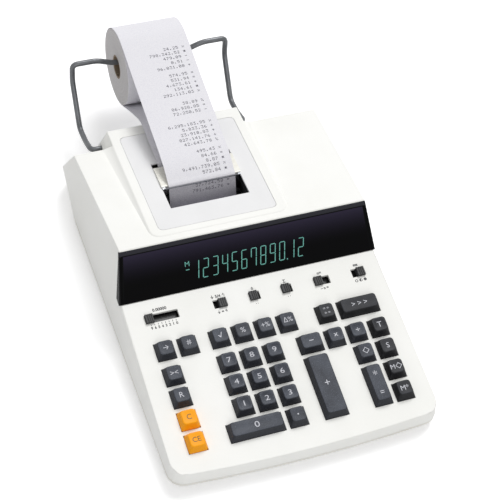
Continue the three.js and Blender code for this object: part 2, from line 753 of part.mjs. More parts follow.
function displayWindow() {
  const panel = solid(displaySlab(0, windowThickness, 2 * seatGap, displayLength - skin - seatGap,
    caseWidth));
  const outside = caseEnvelope(0, partingHeight, displayHead[1] + overrun);
  return surface(panel.intersect(outside));
}

function displayGlass() {
  const front = windowThickness + 2 * seatGap + wall;
  return displaySlab(front, front + glassDepth, glassRise, glassRise + glassHeight, glassLength / 2);
}

function guidePlate() {
  const plate = solid(block(-boardWidth / 2, boardWidth / 2, ...guideSpan,
    guideTop - guidePlateThickness, guideTop));
  const holes = keyRows.map((key) => {
    const halfX = (keyStem + key.width - keySkirt) / 2 + slideGap;
    const halfY = (keyStem + key.depth - keySkirt) / 2 + slideGap;
    return solid(block(key.x - halfX, key.x + halfX, key.y - halfY, key.y + halfY,
      guideTop - overrun, guideTop + overrun));
  });
  return surface(cut(plate, holes));
}

function contactMat() {
  const sheet = solid(block(-boardWidth / 2, boardWidth / 2, ...guideSpan,
    matTop - matThickness, matTop));
  const domes = keyRows.map((key) => solid(new THREE.CylinderGeometry(
    domeTopRadius, domeRadius, stemBottom - seatGap - matTop + matThickness / 2, 8)
    .rotateX(Math.PI / 2)
    .translate(key.x, key.y, (stemBottom - seatGap + matTop - matThickness / 2) / 2)));
  return surface(join([sheet, ...domes]));
}

function mainBoard() {
  const sheet = solid(block(-boardWidth / 2, boardWidth / 2, boardMargin, deckRun - boardRear,
    boardBottom, boardTop));
  const switches = slideRows.map((slide) => solid(block(
    slide.left - skin, slide.left + slide.length + skin, slotRow - skin, slotRow + slotDepth + skin,
    boardTop - boardThickness / 2, footBottom - seatGap)));
  return surface(join([sheet, ...switches]));
}

function printerCover() {
  const plate = solid(loft([-coverThickness, 0].map((z) => roundedRing(
    coverWidth, coverLength, coverCornerRadius, z, 0, coverSetback + coverLength / 2, 3))));
  const windowHole = solid(block(
    printerShift - windowWidth / 2, printerShift + windowWidth / 2,
    coverSetback + windowSetback, windowRear, -overrun, overrun));
  const slotFront = windowRear + tearBarLength;
  const slotHole = solid(block(
    printerShift - slotWidth / 2, printerShift + slotWidth / 2,
    slotFront, slotRear, -overrun, overrun));
  return surface(cut(plate, [windowHole, slotHole]));
}

function tearBar() {
  const front = windowRear;
  const rear = front + tearBarLength - seatGap;
  const base = seatGap;
  return prismAlongX([
    [front, base], [rear, base], [rear, base + tearBarHeel], [rear - tearBarHeel, base + tearBarHeight],
    [front - tearBarNose, base + tearBarHeight],
    [front - tearBarNose, base + tearBarHeight - tearBarTooth],
  ], printerShift - slotWidth / 2, printerShift + slotWidth / 2);
}

const drumAxis = [
  platenAxis[0] - platenRadius - paperThickness - 3 * seatGap - drumRadius, platenAxis[1],
];
const inkAxis = [
  drumAxis[0] + (drumRadius + inkRadius + seatGap) * cosine(inkAngle),
  drumAxis[1] + (drumRadius + inkRadius + seatGap) * sine(inkAngle),
];

// A roller with its spindle, which runs through both side plates of the printer frame.
function roller(radius, length, axis, sides) {
  const half = frameHalfSpan + framePlate + spindleRadius;
  return surface(join([
    solid(rodAlongX(radius, -length / 2, length / 2, axis, sides)),
    solid(rodAlongX(spindleRadius, -half, half, axis, 16)),
  ]));
}

function printerFrame() {
  const outside = frameHalfSpan + framePlate;
  const body = solid(block(-outside, outside, frameFront, frameRear, frameBottom, frameTop));
  const room = solid(block(-frameHalfSpan, frameHalfSpan, 0, tailTop[0],
    frameBottom + framePlate, frameTop + overrun));
  const bearings = [platenAxis, drumAxis, inkAxis].map((axis) => solid(
    rodAlongX(spindleRadius + slideGap, -outside - overrun, outside + overrun, axis, 16)));
  const inkEar = solid(rodAlongX(2 * spindleRadius, -outside, outside, inkAxis, 16));
  return surface(cut(body.add(inkEar), [room, ...bearings]));
}

function motor() {
  const mounted = frameHalfSpan - seatGap;
  const axis = [platenAxis[0] + motorBehind, platenAxis[1] - motorBelow];
  return surface(join([
    solid(rodAlongX(motorRadius, mounted - motorLength, mounted, axis, 24)),
    solid(rodAlongX(motorRadius / 3, mounted - motorLength - motorBoss, mounted, axis, 16)),
  ]));
}

function transformer() {
  const base = footHeight + floorThickness + skin + seatGap;
  const middle = base + transformerHeight / 2;
  const core = solid(block(
    transformerCentre - transformerWidth / 2, transformerCentre + transformerWidth / 2,
    transformerSetback - transformerRun / 2, transformerSetback + transformerRun / 2,
    base, base + transformerHeight));
  const coilHalf = transformerWidth / 2 - coilInset;
  const coilHalfRun = transformerRun / 2 + coilReach;
  const coil = solid(block(
    transformerCentre - coilHalf, transformerCentre + coilHalf,
    transformerSetback - coilHalfRun, transformerSetback + coilHalfRun,
    middle - coilHeight / 2, middle + coilHeight / 2));
  return surface(core.add(coil));
}

// Where the feed strip leaves the roll, tangent to a line from the tail's rear edge
const paperOffset = seatGap + paperThickness / 2;
const paperOrbit = rollRadius + paperOffset;
const platenOrbit = platenRadius + paperOffset;

// The angle at which a line from a point touches a circle, on one side or the other.
function touchAngle([centreY, centreZ], radius, [y, z], side) {
  const distance = Math.hypot(y - centreY, z - centreZ);
  const toPoint = THREE.MathUtils.radToDeg(Math.atan2(z - centreZ, y - centreY));
  return toPoint + side * THREE.MathUtils.radToDeg(Math.acos(radius / distance));
}

// A place on the top of the housing, by its distance along it and its height over it
function onHousing(along, height) {
  return [
    housingFront + along * cosine(housingFall) + height * sine(housingFall),
    housingHeight - along * sine(housingFall) + height * cosine(housingFall),
  ];
}

function feedStrip() {
  const edge = onHousing(slotRear, paperOffset);
  const run = tailTop[0] - edge[0];
  const overCover = feedShares.map(([along, lift]) => {
    const y = edge[0] + run * along;
    return [y, housingPlaneAt(y) + feedArch * lift];
  });
  const leave = touchAngle(rollAxis, paperOrbit, overCover[0], 1);
  const lip = onHousing(slotRear - paperOffset, paperOffset);
  const mouth = onHousing(slotRear - 2 * paperOffset, -paperOffset);
  const meet = touchAngle(platenAxis, platenOrbit, mouth, -1);
  return prismAlongX(sheetOutline([
    ...arc(rollAxis, paperOrbit, leave + feedWrap, leave, 4),
    ...overCover, edge, lip, mouth,
    ...arc(platenAxis, platenOrbit, meet, -90, 6),
  ], paperThickness), -paperWidth / 2, paperWidth / 2);
}

function printedTape() {
  const edge = onHousing(windowRear - tearBarNose - paperOffset, tearBarHeight + seatGap + paperOffset);
  const leave = touchAngle(platenAxis, platenOrbit, edge, 1) - 2 * halfTurn;
  const onRoll = arc(rollAxis, paperOrbit, tapeTouchAngle, 0, 12);
  const [touch, next] = onRoll;
  const places = tapeShares.map(([along, lift]) => [
    edge[0] + (touch[0] - edge[0]) * along, edge[1] + (touch[1] - edge[1]) * lift,
  ]);
  const curve = new THREE.CatmullRomCurve3(
    [edge, ...places, touch, next].map(([y, z]) => new THREE.Vector3(0, y, z)));
  const flight = curve.getPoints(25).map((point) => [point.y, point.z]);
  const end = [onRoll.at(-1)[0] + tapeFlare, rollAxis[1] - tapeDrop];
  return prismAlongX(sheetOutline([
    ...arc(platenAxis, platenOrbit, -90 - feedWrap, leave, 6),
    ...flight, ...onRoll.slice(2), end,
  ], paperThickness), -paperWidth / 2, paperWidth / 2);
}

function paperRoll() {
  const profile = [
    [rollBore, -paperWidth / 2], [rollRadius, -paperWidth / 2],
    [rollRadius, paperWidth / 2], [rollBore, paperWidth / 2], [rollBore, -paperWidth / 2],
  ].map(([x, y]) => new THREE.Vector2(x, y));
  return new THREE.LatheGeometry(profile, 48).rotateZ(-Math.PI / 2);
}

// A rounded bend between two straight runs of wire.
function bend(path, before, corner, after, radius) {
  const into = corner.clone().sub(before).normalize();
  const out = after.clone().sub(corner).normalize();
  const start = corner.clone().addScaledVector(into, -radius);
  const end = corner.clone().addScaledVector(out, radius);
  path.add(new THREE.LineCurve3(path.curves.length ? path.curves.at(-1).getPoint(1) : before, start));
  path.add(new THREE.QuadraticBezierCurve3(start, corner, end));
}

// One wire arm about its pivot, on the side given by the sign, measured from the housing's centre.
function wireArm(side) {
  const root = housingWidth / 2 + (tailTop[1] - pivotHeight) * tangent(tailDraft) - pivotDepth;
  const reach = armTop[0] - pivot[0];
  const rise = armTop[1] - pivot[1];
  const grip = wireGripHeight - pivot[1];
  const foot = paperWidth / 2 + wireClearance;
  const at = (x, y, z) => new THREE.Vector3(side * x, y, z);
  const points = [
    at(root, 0, 0), at(wireSpread, 0, 0),
    ...armShares.map(([along, up]) => at(wireSpread, reach * along, rise * up)),
    at(wireSpread, reach, rise), at(foot + wireShoulder, reach, rise),
    at(foot, reach, grip), at(foot - wireClearance - wireReach, reach, grip),
  ];
  const path = new THREE.CurvePath();
  for (let i = 1; i < points.length - 1; i++) bend(path, points[i - 1], points[i], points[i + 1], bendRadius);
  path.add(new THREE.LineCurve3(path.curves.at(-1).getPoint(1), points.at(-1)));
  const section = new THREE.Shape(arc([0, 0], wireRadius, 0, 2 * halfTurn, 8).slice(1)
    .map(([x, y]) => new THREE.Vector2(x, y)));
  return new THREE.ExtrudeGeometry(section, { steps: 60, bevelEnabled: false, extrudePath: path });
}

// Rubber bush round the cord's way in, held in the rear wall; 0 is the wall's outside
function cordInlet() {
  const inside = -wall - seatGap;
  const profile = [
    [inletBore, inside - inletFlange], [inletLip, inside - inletFlange], [inletLip, inside],
    [inletRadius, inside], [inletRadius, seatGap], [inletCollar, seatGap],
    [inletCollar, seatGap + inletFlange], [inletBore, seatGap + inletFlange],
    [inletBore, inside - inletFlange],
  ].map(([x, y]) => new THREE.Vector2(x, y));
  return new THREE.LatheGeometry(profile, 20);
}

const printer = new THREE.Group();
printer.position.x = printerCentre;
printer.add(
  meshOf('platen_roller', roller(platenRadius, platenLength, platenAxis, 32), colors.rubber, 0.8),
  meshOf('type_drum', roller(drumRadius, platenLength, drumAxis, 24), colors.steel, 0.4, 0.8),
  meshOf('ink_roller', roller(inkRadius, platenLength, inkAxis, 24), colors.ink, 0.9),
  meshOf('printer_frame', printerFrame(), colors.plate, 0.45, 0.7),
  meshOf('feed_motor', motor(), colors.steel, 0.4, 0.8),
  meshOf('feed_strip', feedStrip(), colors.paper, 0.9),
  meshOf('printed_tape', printedTape(), colors.paper, 0.9),
);

const housing = new THREE.Group();
housing.applyMatrix4(housingMatrix);
housing.add(
  meshOf('printer_cover', printerCover(), colors.ivory, 0.5),
  meshOf('tear_bar', tearBar(), colors.cream, 0.4),
);

const keyboard = new THREE.Group();
keyboard.applyMatrix4(keyboardMatrix);
keyboard.add(
  meshOf('key_guide_plate', guidePlate(), colors.frame, 0.6),
  meshOf('contact_mat', contactMat(), colors.rubber, 0.85),
  meshOf('main_board', mainBoard(), colors.board, 0.6),
);
for (const key of keyRows) {
  const cap = meshOf(key.name, keyShape(key), key.amber ? colors.amber : colors.charcoal, 0.55);
  cap.position.set(key.x, key.y, 0);
  keyboard.add(cap);
}
for (const slide of slideRows) {
  const knob = meshOf(slide.name, knobShape(), colors.knob, 0.5);
  knob.position.x = slide.x;
  keyboard.add(knob);
}

const rollStand = new THREE.Group();
const roll = meshOf('paper_roll', paperRoll(), colors.paper, 0.9);
roll.position.set(printerCentre, rollAxis[0], rollAxis[1]);
rollStand.add(roll);
for (const [name, side] of [['arm_left', -1], ['arm_right', 1]]) {
  const arm = meshOf(name, wireArm(side), colors.wire, 0.4, 0.6);
  arm.position.set(housingCentre, pivot[0], pivot[1]);
  rollStand.add(arm);
}

const machine = new THREE.Group();
machine.add(
  meshOf('upper_case', upperCase(), colors.ivory, 0.5),
  meshOf('lower_case', lowerCase(), colors.lowerIvory, 0.55),
  meshOf('display_window', displayWindow(), colors.gloss, 0.12),
  meshOf('display_tube', displayGlass(), colors.glass, 0.2),
  meshOf('transformer', transformer(), colors.copper, 0.6, 0.4),
  keyboard, housing, printer, rollStand,
);

const inlet = meshOf('cord_inlet', cordInlet(), colors.rubber, 0.8);
inlet.applyMatrix4(inletMatrix);
machine.add(inlet);

const calculator = new THREE.Group();
calculator.add(machine);
calculator.updateMatrixWorld(true);
const extent = new THREE.Box3().setFromObject(machine, true);
machine.position.set(
  -(extent.min.x + extent.max.x) / 2, -(extent.min.y + extent.max.y) / 2, -extent.min.z);

export default calculator;
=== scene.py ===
"""Looks of the desktop printing calculator, built round its packed construction.

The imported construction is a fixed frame. Each sub-assembly below is a class that takes its places
from that frame, builds its meshes and dresses them in their finishes. Sizes are millimetres and
angles are degrees; place() turns them into Blender's metres.
"""

import json
import logging
import math
import random
from dataclasses import dataclass
from enum import Enum
from typing import Callable, Sequence

import bmesh
import bpy
from mathutils import Matrix, Vector
from mathutils.bvhtree import BVHTree

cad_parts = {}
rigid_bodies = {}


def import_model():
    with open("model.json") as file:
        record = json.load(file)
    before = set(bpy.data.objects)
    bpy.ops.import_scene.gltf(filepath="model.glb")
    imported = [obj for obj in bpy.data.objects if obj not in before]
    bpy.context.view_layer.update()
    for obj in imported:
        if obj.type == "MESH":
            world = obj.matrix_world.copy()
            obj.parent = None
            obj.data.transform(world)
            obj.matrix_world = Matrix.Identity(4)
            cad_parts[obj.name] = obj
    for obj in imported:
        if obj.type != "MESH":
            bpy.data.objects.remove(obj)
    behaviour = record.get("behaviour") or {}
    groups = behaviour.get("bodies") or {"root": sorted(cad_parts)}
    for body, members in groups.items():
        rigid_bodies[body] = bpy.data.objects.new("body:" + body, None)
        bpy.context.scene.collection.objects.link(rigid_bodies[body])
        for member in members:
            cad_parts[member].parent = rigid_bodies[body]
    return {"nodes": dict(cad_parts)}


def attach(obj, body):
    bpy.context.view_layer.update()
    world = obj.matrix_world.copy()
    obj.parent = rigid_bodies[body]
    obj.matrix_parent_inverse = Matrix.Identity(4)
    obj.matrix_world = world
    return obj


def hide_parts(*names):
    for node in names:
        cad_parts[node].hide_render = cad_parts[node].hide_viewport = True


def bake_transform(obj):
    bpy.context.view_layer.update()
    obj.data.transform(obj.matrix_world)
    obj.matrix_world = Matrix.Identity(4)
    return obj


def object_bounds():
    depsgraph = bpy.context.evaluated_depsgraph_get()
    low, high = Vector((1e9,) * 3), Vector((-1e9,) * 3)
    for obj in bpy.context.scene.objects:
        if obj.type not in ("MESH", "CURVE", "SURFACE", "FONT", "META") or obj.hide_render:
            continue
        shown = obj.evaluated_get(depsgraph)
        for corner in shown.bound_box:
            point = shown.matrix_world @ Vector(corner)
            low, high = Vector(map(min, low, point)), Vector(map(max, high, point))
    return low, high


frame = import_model()
CAD_BOX = [[float(value) for value in corner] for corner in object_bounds()]

LOG = logging.getLogger("calculator")
MM = 0.001  # metres in a millimetre
WELD = 0.002  # points this close are one, in millimetres
FLAT = 0.5  # faces that turn by less lie in one plane, in degrees
IDENTITY = Matrix.Identity(4)

Shape = bmesh.types.BMesh
Line = list[Vector]
Color = tuple[float, float, float, float]
Pair = tuple[float, float]
Surface = Callable[[float, float], float]
Edge = bmesh.types.BMEdge
Socket = bpy.types.NodeSocket
Tree = bpy.types.NodeTree


def srgb(code: int) -> Color:
    """Turns a colour code into the linear colour that a shader takes.

    Args:
        code: The colour as 0xRRGGBB.

    Returns:
        Red, green, blue and alpha.
    """
    parts = [((code >> shift) & 255) / 255 for shift in (16, 8, 0)]
    linear = [p / 12.92 if p <= 0.04045 else ((p + 0.055) / 1.055) ** 2.4 for p in parts]
    return linear[0], linear[1], linear[2], 1.0


def tangent(angle: float) -> float:
    """The tangent of an angle in degrees."""
    return math.tan(math.radians(angle))


def turn(angle: float, axis: str = "X") -> Matrix:
    """A rotation by an angle in degrees."""
    return Matrix.Rotation(math.radians(angle), 4, axis)


@dataclass(frozen=True)
class Layout:
    """Leading sizes of the case, and the sloping planes that its pieces lie in.

    Y starts at the front rim of the case; `shift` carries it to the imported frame's origin.
    """

    shift: float
    case_width: float = 225
    parting_height: float = 9.5
    side_draft: float = 7
    deck_front_height: float = 20.5
    deck_tilt: float = 6.9
    deck_run: float = 150.9
    display_length: float = 45.3
    display_angle: float = 52.8
    top_fall: float = 9.5
    housing_centre: float = -17.5
    housing_width: float = 115
    housing_setback: float = 6
    housing_step: float = 0.8
    housing_fall: float = 6.2
    housing_run: float = 121.5
    tail_draft: float = 4.4
    pivot_y: float = 309.9
    pivot_height: float = 36.5

    @property
    def front_run(self) -> float:
        """How far the drafted front rim leans back up to the deck's front edge."""
        return (self.deck_front_height - self.parting_height) * tangent(self.side_draft)

    @property
    def deck(self) -> Matrix:
        """The plane of the keyboard: X right, Y up the deck, Z out of it."""
        place = (0, self.shift + self.front_run, self.deck_front_height)
        return Matrix.Translation(place) @ turn(self.deck_tilt)

    @property
    def display(self) -> Matrix:
        """The plane of the display: X right, Y up the slope, Z out of it.

        Returns:
            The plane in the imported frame, in millimetres.
        """
        height = self.deck_front_height + self.deck_run * tangent(self.deck_tilt)
        foot = (0, self.shift + self.front_run + self.deck_run, height)
        return Matrix.Translation(foot) @ turn(self.display_angle)

    @property
    def housing(self) -> Matrix:
        """The top of the printer housing: X right, Y to the back, Z out of it.

        Returns:
            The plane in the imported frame, in millimetres.
        """
        head = self.display @ Vector((0, self.display_length, 0))
        height = head.z - self.housing_setback * tangent(self.top_fall) + self.housing_step
        origin = (self.housing_centre, head.y + self.housing_setback, height)
        return Matrix.Translation(origin) @ turn(-self.housing_fall)

    @property
    def tail_top(self) -> Vector:
        """The rear edge of the housing's top, in the middle of the housing.

        Returns:
            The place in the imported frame, in millimetres.
        """
        front = self.housing.translation
        drop = self.housing_run * tangent(self.housing_fall)
        return Vector((self.housing_centre, front.y + self.housing_run, front.z - drop))

    def side_at(self, height: float) -> float:
        """How far the drafted side of the case stands from its middle at a height."""
        return self.case_width / 2 - (height - self.parting_height) * tangent(self.side_draft)


class Slot(Enum):
    """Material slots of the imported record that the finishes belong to."""

    CASE = "case_ivory"
    BASE = "base_ivory"
    COVER = "cover_ivory"
    TEAR = "tear_plate"
    WINDOW = "window_black"
    TUBE = "tube_glass"
    KEY = "key_charcoal"
    AMBER = "key_amber"
    KNOB = "knob_black"
    GUIDE = "guide_grey"
    MAT = "mat_rubber"
    BOARD = "board_green"
    PLATEN = "platen_rubber"
    DRUM = "drum_metal"
    INK = "ink_felt"
    FRAME = "frame_steel"
    MOTOR = "motor_steel"
    TRANSFORMER = "transformer_iron"
    INLET = "inlet_rubber"
    PAPER = "paper_white"
    WIRE = "wire_grey"


class Desk:
    """Adds shader nodes to one tree and links them as they are added."""

    def __init__(self, tree: Tree) -> None:
        """Starts with a tree whose nodes are to be added."""
        self.tree = tree

    def put(self, socket: Socket, value: object) -> None:
        """Gives an input its value.

        Args:
            socket: The input.
            value: A plain value, or the socket that the value comes from.
        """
        if isinstance(value, Socket):
            self.tree.links.new(value, socket)
        else:
            socket.default_value = value

    def add(self, kind: str, inputs: dict | None = None, **settings: object) -> bpy.types.Node:
        """Adds one node.

        Args:
            kind: The node's type without its ShaderNode prefix.
            inputs: Values or sockets for the node's inputs, by name or number.
            settings: The node's own settings.

        Returns:
            The node.
        """
        node = self.tree.nodes.new("ShaderNode" + kind)
        for name, value in settings.items():
            setattr(node, name, value)
        for key, value in (inputs or {}).items():
            self.put(node.inputs[key], value)
        return node

    def math(self, operation: str, first: object, second: object = 0.0) -> Socket:
        """Adds a sum of two values and returns its result."""
        return self.add("Math", {0: first, 1: second}, operation=operation).outputs[0]

    def ramp(self, value: object, low: object, high: object, start: float = 0.0,
             end: float = 1.0) -> Socket:
        """Maps a value between low and high to between start and end, and returns it."""
        inputs = {"Value": value, "From Min": low, "From Max": high, "To Min": start, "To Max": end}
        return self.add("MapRange", inputs).outputs["Result"]

    def blend(self, mask: object, under: object, over: object) -> Socket:
        """Mixes two colours by a mask and returns the mix."""
        return self.add("Mix", {0: mask, 6: under, 7: over}, data_type="RGBA").outputs[2]

    def place(self) -> Socket:
        """Where each point of the piece lies, in metres."""
        return self.add("TexCoord").outputs["Object"]

    def drawn(self, *shares: float) -> Socket:
        """The piece's own places, each axis scaled by its share."""
        return self.add("Mapping", {"Vector": self.place(), "Scale": shares}).outputs[0]

    def noise(self, scale: object, detail: float, roughness: float = 0.5,
              spread: Socket | None = None) -> Socket:
        """Adds cloudy noise.

        Args:
            scale: How many clouds a metre holds.
            detail: How many finer layers are in it.
            roughness: How strong the finer layers are.
            spread: The places that it is spread over, or nothing for the piece's own.

        Returns:
            The noise.
        """
        vector = self.place() if spread is None else spread
        inputs = {"Vector": vector, "Scale": scale, "Detail": detail, "Roughness": roughness}
        return self.add("TexNoise", inputs).outputs[0]

    def effect(self, group: Tree, **values: float) -> bpy.types.bpy_prop_collection:
        """Places a shared effect with its own values and returns its outputs."""
        return self.add("Group", values, node_tree=group).outputs

    def feed(self, name: str, value: object) -> None:
        """Gives an input of the material's own shader its value."""
        self.put(self.tree.nodes["Principled BSDF"].inputs[name], value)

    def bump(self, height: object, strength: float, distance: float) -> None:
        """Feeds a height to the shader's normal; the distance is in millimetres."""
        inputs = {"Strength": strength, "Distance": distance * MM, "Height": height}
        self.feed("Normal", self.add("Bump", inputs).outputs[0])


class Effects:
    """Shader node groups that several finishes share, each made once."""

    def __init__(self) -> None:
        """Starts with no group made."""
        self._made: dict[str, Tree] = {}

    def _group(self, name: str, given: str, outputs: Sequence[str],
               fill: Callable[[Desk, Socket], list[Socket]]) -> Tree:
        """Makes a group on its first use.

        Args:
            name: The group's name.
            given: The name of its one number input.
            outputs: The names of its number outputs.
            fill: Adds the group's nodes, from the input, and returns the outputs in order.

        Returns:
            The group's tree.
        """
        if name not in self._made:
            tree = bpy.data.node_groups.new(name, "ShaderNodeTree")
            for direction, sockets in (("INPUT", [given]), ("OUTPUT", outputs)):
                for socket in sockets:
                    tree.interface.new_socket(socket, in_out=direction, socket_type="NodeSocketFloat")
            start = tree.nodes.new("NodeGroupInput").outputs[given]
            end = tree.nodes.new("NodeGroupOutput").inputs
            for socket, result in zip(outputs, fill(Desk(tree), start)):
                tree.links.new(result, end[socket])
            self._made[name] = tree
        return self._made[name]

    def grain(self) -> Tree:
        """Fine moulded grain with slow patches: Height and Patch, by Fineness in grains a metre."""
        return self._group("moulded_grain", "Fineness", ["Height", "Patch"], lambda desk, fineness: [
            desk.noise(fineness, 3.0), desk.ramp(desk.noise(14.0, 4.0, 0.6), 0.35, 0.65)])

    def wear(self) -> Tree:
        """Rubbed convex edges, broken up by noise: Mask, by how Far it reaches from the edge.

        Returns:
            The group's tree.
        """
        def fill(desk: Desk, far: Socket) -> list[Socket]:
            """Finds the edges and breaks them up.

            Args:
                desk: Where the nodes are added.
                far: How far the wear reaches.

            Returns:
                The Mask.
            """
            sharp = desk.add("NewGeometry").outputs["Pointiness"]
            edge = desk.ramp(sharp, desk.math("SUBTRACT", 0.62, far), 0.66)
            broken = desk.ramp(desk.noise(420.0, 5.0), 0.4, 0.6)
            return [desk.math("MULTIPLY", edge, broken)]
        return self._group("edge_wear", "Far", ["Mask"], fill)

    def dust_and_top_light(self) -> Tree:
        """Faint settled dust and painted light on faces that look up: Mask, by its Amount.

        Returns:
            The group's tree.
        """
        def fill(desk: Desk, amount: Socket) -> list[Socket]:
            """Lets clouds and specks of dust settle on what looks up, and paints light there.

            Args:
                desk: Where the nodes are added.
                amount: How much dust there is.

            Returns:
                The Mask.
            """
            normal = desk.add("NewGeometry").outputs["Normal"]
            up = desk.add("SeparateXYZ", {0: normal}).outputs[2]
            clouds = desk.ramp(desk.noise(60.0, 6.0), 0.3, 0.7, 0.3, 1.0)
            # Faces that look up get the mask: settled dust, and on the keys painted top light.
            on_top_faces = desk.math("MULTIPLY", desk.ramp(up, 0.75, 0.97), clouds)
            specks = desk.math("MULTIPLY", desk.ramp(desk.noise(2600.0, 1.0), 0.62, 0.7), up)
            total = desk.math("ADD", desk.math("MULTIPLY", on_top_faces, 0.5), specks)
            return [desk.ramp(desk.math("MULTIPLY", total, amount), 0.0, 1.0)]
        return self._group("dust_and_painted_top_light", "Amount", ["Mask"], fill)

    def smudge(self) -> Tree:
        """Finger marks and fine wipes on a polished face: Mask, by its Scale."""
        return self._group("finger_smudge", "Scale", ["Mask"], lambda desk, scale: [
            desk.ramp(desk.noise(scale, 6.0, 0.7, desk.drawn(1.0, 5.0, 5.0)), 0.45, 0.75)])

    def brushed(self) -> Tree:
        """Drawn or turned metal with fine lines along X: Height and Patch, by Fineness."""
        return self._group("brushed_lines", "Fineness", ["Height", "Patch"], lambda desk, fineness: [
            desk.noise(fineness, 4.0, 0.5, desk.drawn(0.04, 1.0, 1.0)),
            desk.ramp(desk.noise(90.0, 5.0), 0.35, 0.65)])


EFFECTS = Effects()


@dataclass(frozen=True)
class Finish:
    """A finish of one kind of surface, made into a material on its first use."""

    name: str
    slot: Slot

    def material(self) -> bpy.types.Material:
        """The material of this finish, made once.

        Returns:
            The material.
        """
        made = bpy.data.materials.get(self.name)
        if made is None:
            made = bpy.data.materials.new(self.name)
            made.use_nodes = True
            self.dress(Desk(made.node_tree))
        return made

    def dress(self, desk: Desk) -> None:
        """Feeds the shader; each kind of finish does this its own way."""
        raise NotImplementedError


@dataclass(frozen=True)
class Moulded(Finish):
    """Injection-moulded: fine spark grain, slow tone, rubbed edges, settled dust, painted top light.
    """

    color: int
    patch: int
    edge: int
    roughness: float = 0.5
    fineness: float = 2200.0
    depth: float = 0.04
    # How much dust settles on faces that look up; a large amount is painted light that brightens the
    # tops.
    dust_and_top_light: float = 0.15
    dust_and_top_light_color: int = 0xB9B4AA
    worn: float = 0.03
    shine: float = 0.5

    def dress(self, desk: Desk) -> None:
        """Mixes the tones and feeds the grain to roughness and normal.

        Args:
            desk: The material's nodes.
        """
        grain = desk.effect(EFFECTS.grain(), Fineness=self.fineness)
        wear = desk.effect(EFFECTS.wear(), Far=self.worn)[0]
        dust_and_top_light = desk.effect(EFFECTS.dust_and_top_light(), Amount=self.dust_and_top_light)[0]
        tone = desk.blend(grain["Patch"], srgb(self.color), srgb(self.patch))
        rubbed = desk.blend(wear, tone, srgb(self.edge))
        rough = desk.ramp(grain["Patch"], 0.0, 1.0, self.roughness - 0.04, self.roughness + 0.05)
        # Settled dust and painted top light over the rubbed tone.
        desk.feed("Base Color", desk.blend(dust_and_top_light, rubbed, srgb(self.dust_and_top_light_color)))
        desk.feed("Roughness", rough)
        desk.feed("Specular IOR Level", self.shine)
        desk.bump(grain["Height"], strength=0.35, distance=self.depth)


@dataclass(frozen=True)
class Polished(Finish):
    """Deep polished plastic under a clear gloss, with finger marks that dull it in places.

    Its upper colour is a painted reflection that fades in between the heights `low` and `high`,
    inside the drafted `rim`, up to the `lip`; on the panel the lip is a lighter painted reflection.
    """

    color: int
    # The purple sheen painted in up the panel: a painted reflection.
    upper: int
    low: float
    high: float
    # The colour of the band above lip_from; on the black panel a lighter painted reflection.
    lip: int = 0x34343A
    lip_from: float = 70.9
    rim: float = 111.2
    draft: float = 7.0
    roughness: float = 0.08
    smudge: float = 30.0
    shine: float = 0.06

    def dress(self, desk: Desk) -> None:
        """Fades a painted reflection up the panel to its lip and dulls the gloss where touched.

        Args:
            desk: The material's nodes.
        """
        across, _, height = desk.add("SeparateXYZ", {0: desk.place()}).outputs
        lean = desk.math("MULTIPLY", height, tangent(self.draft))
        out = desk.math("ADD", desk.math("ABSOLUTE", across), lean)
        inside = desk.math("LESS_THAN", out, self.rim * MM)
        sheen_mask = desk.ramp(height, self.low * MM, self.high * MM)
        sheen_mask = desk.math("MULTIPLY", desk.math("MULTIPLY", sheen_mask, sheen_mask), inside)
        # Painted reflection: the colour fades to the purple sheen up the panel, inside the rim.
        sheen = desk.blend(sheen_mask, srgb(self.color), srgb(self.upper))
        over = desk.math("GREATER_THAN", height, self.lip_from * MM)
        marks = desk.effect(EFFECTS.smudge(), Scale=self.smudge)[0]
        # The lip band's own colour, on the panel a lighter painted reflection.
        desk.feed("Base Color", desk.blend(over, sheen, srgb(self.lip)))
        desk.feed("Roughness", desk.ramp(marks, 0.0, 1.0, self.roughness, self.roughness + 0.12))
        desk.feed("Specular IOR Level", self.shine)


@dataclass(frozen=True)
class Metal(Finish):
    """Drawn, turned or painted metal with fine lines and uneven tone."""

    color: int
    patch: int
    metallic: float = 1.0
    roughness: float = 0.35
    fineness: float = 5000.0
    depth: float = 0.02
    bare: int = 0xC9CACC
    worn: float = 0.05

    def dress(self, desk: Desk) -> None:
        """Mixes the tones and feeds the lines to roughness and normal.

        Args:
            desk: The material's nodes.
        """
        lines = desk.effect(EFFECTS.brushed(), Fineness=self.fineness)
        wear = desk.effect(EFFECTS.wear(), Far=self.worn)[0]
        tone = desk.blend(lines["Patch"], srgb(self.color), srgb(self.patch))
        rough = desk.ramp(lines["Height"], 0.3, 0.7, self.roughness - 0.08, self.roughness + 0.1)
        desk.feed("Base Color", desk.blend(desk.math("MULTIPLY", wear, 0.5), tone, srgb(self.bare)))
        desk.feed("Roughness", rough)
        desk.feed("Metallic", self.metallic)
        desk.bump(lines["Height"], strength=0.3, distance=self.depth)


@dataclass(frozen=True)
class Paper(Finish):
    """Uncoated paper: fibres in its tone and surface."""

    color: int
    fibre: int
    fineness: float = 1500.0

    def dress(self, desk: Desk) -> None:
        """Mixes two scales of fibre into the colour and the surface.

        Args:
            desk: The material's nodes.
        """
        grain = desk.effect(EFFECTS.grain(), Fineness=self.fineness)
        fibres = desk.ramp(grain["Height"], 0.4, 0.68)
        desk.feed("Base Color", desk.blend(fibres, srgb(self.color), srgb(self.fibre)))
        desk.feed("Roughness", desk.ramp(grain["Patch"], 0.0, 1.0, 0.82, 0.95))
        desk.bump(grain["Height"], strength=0.25, distance=0.03)


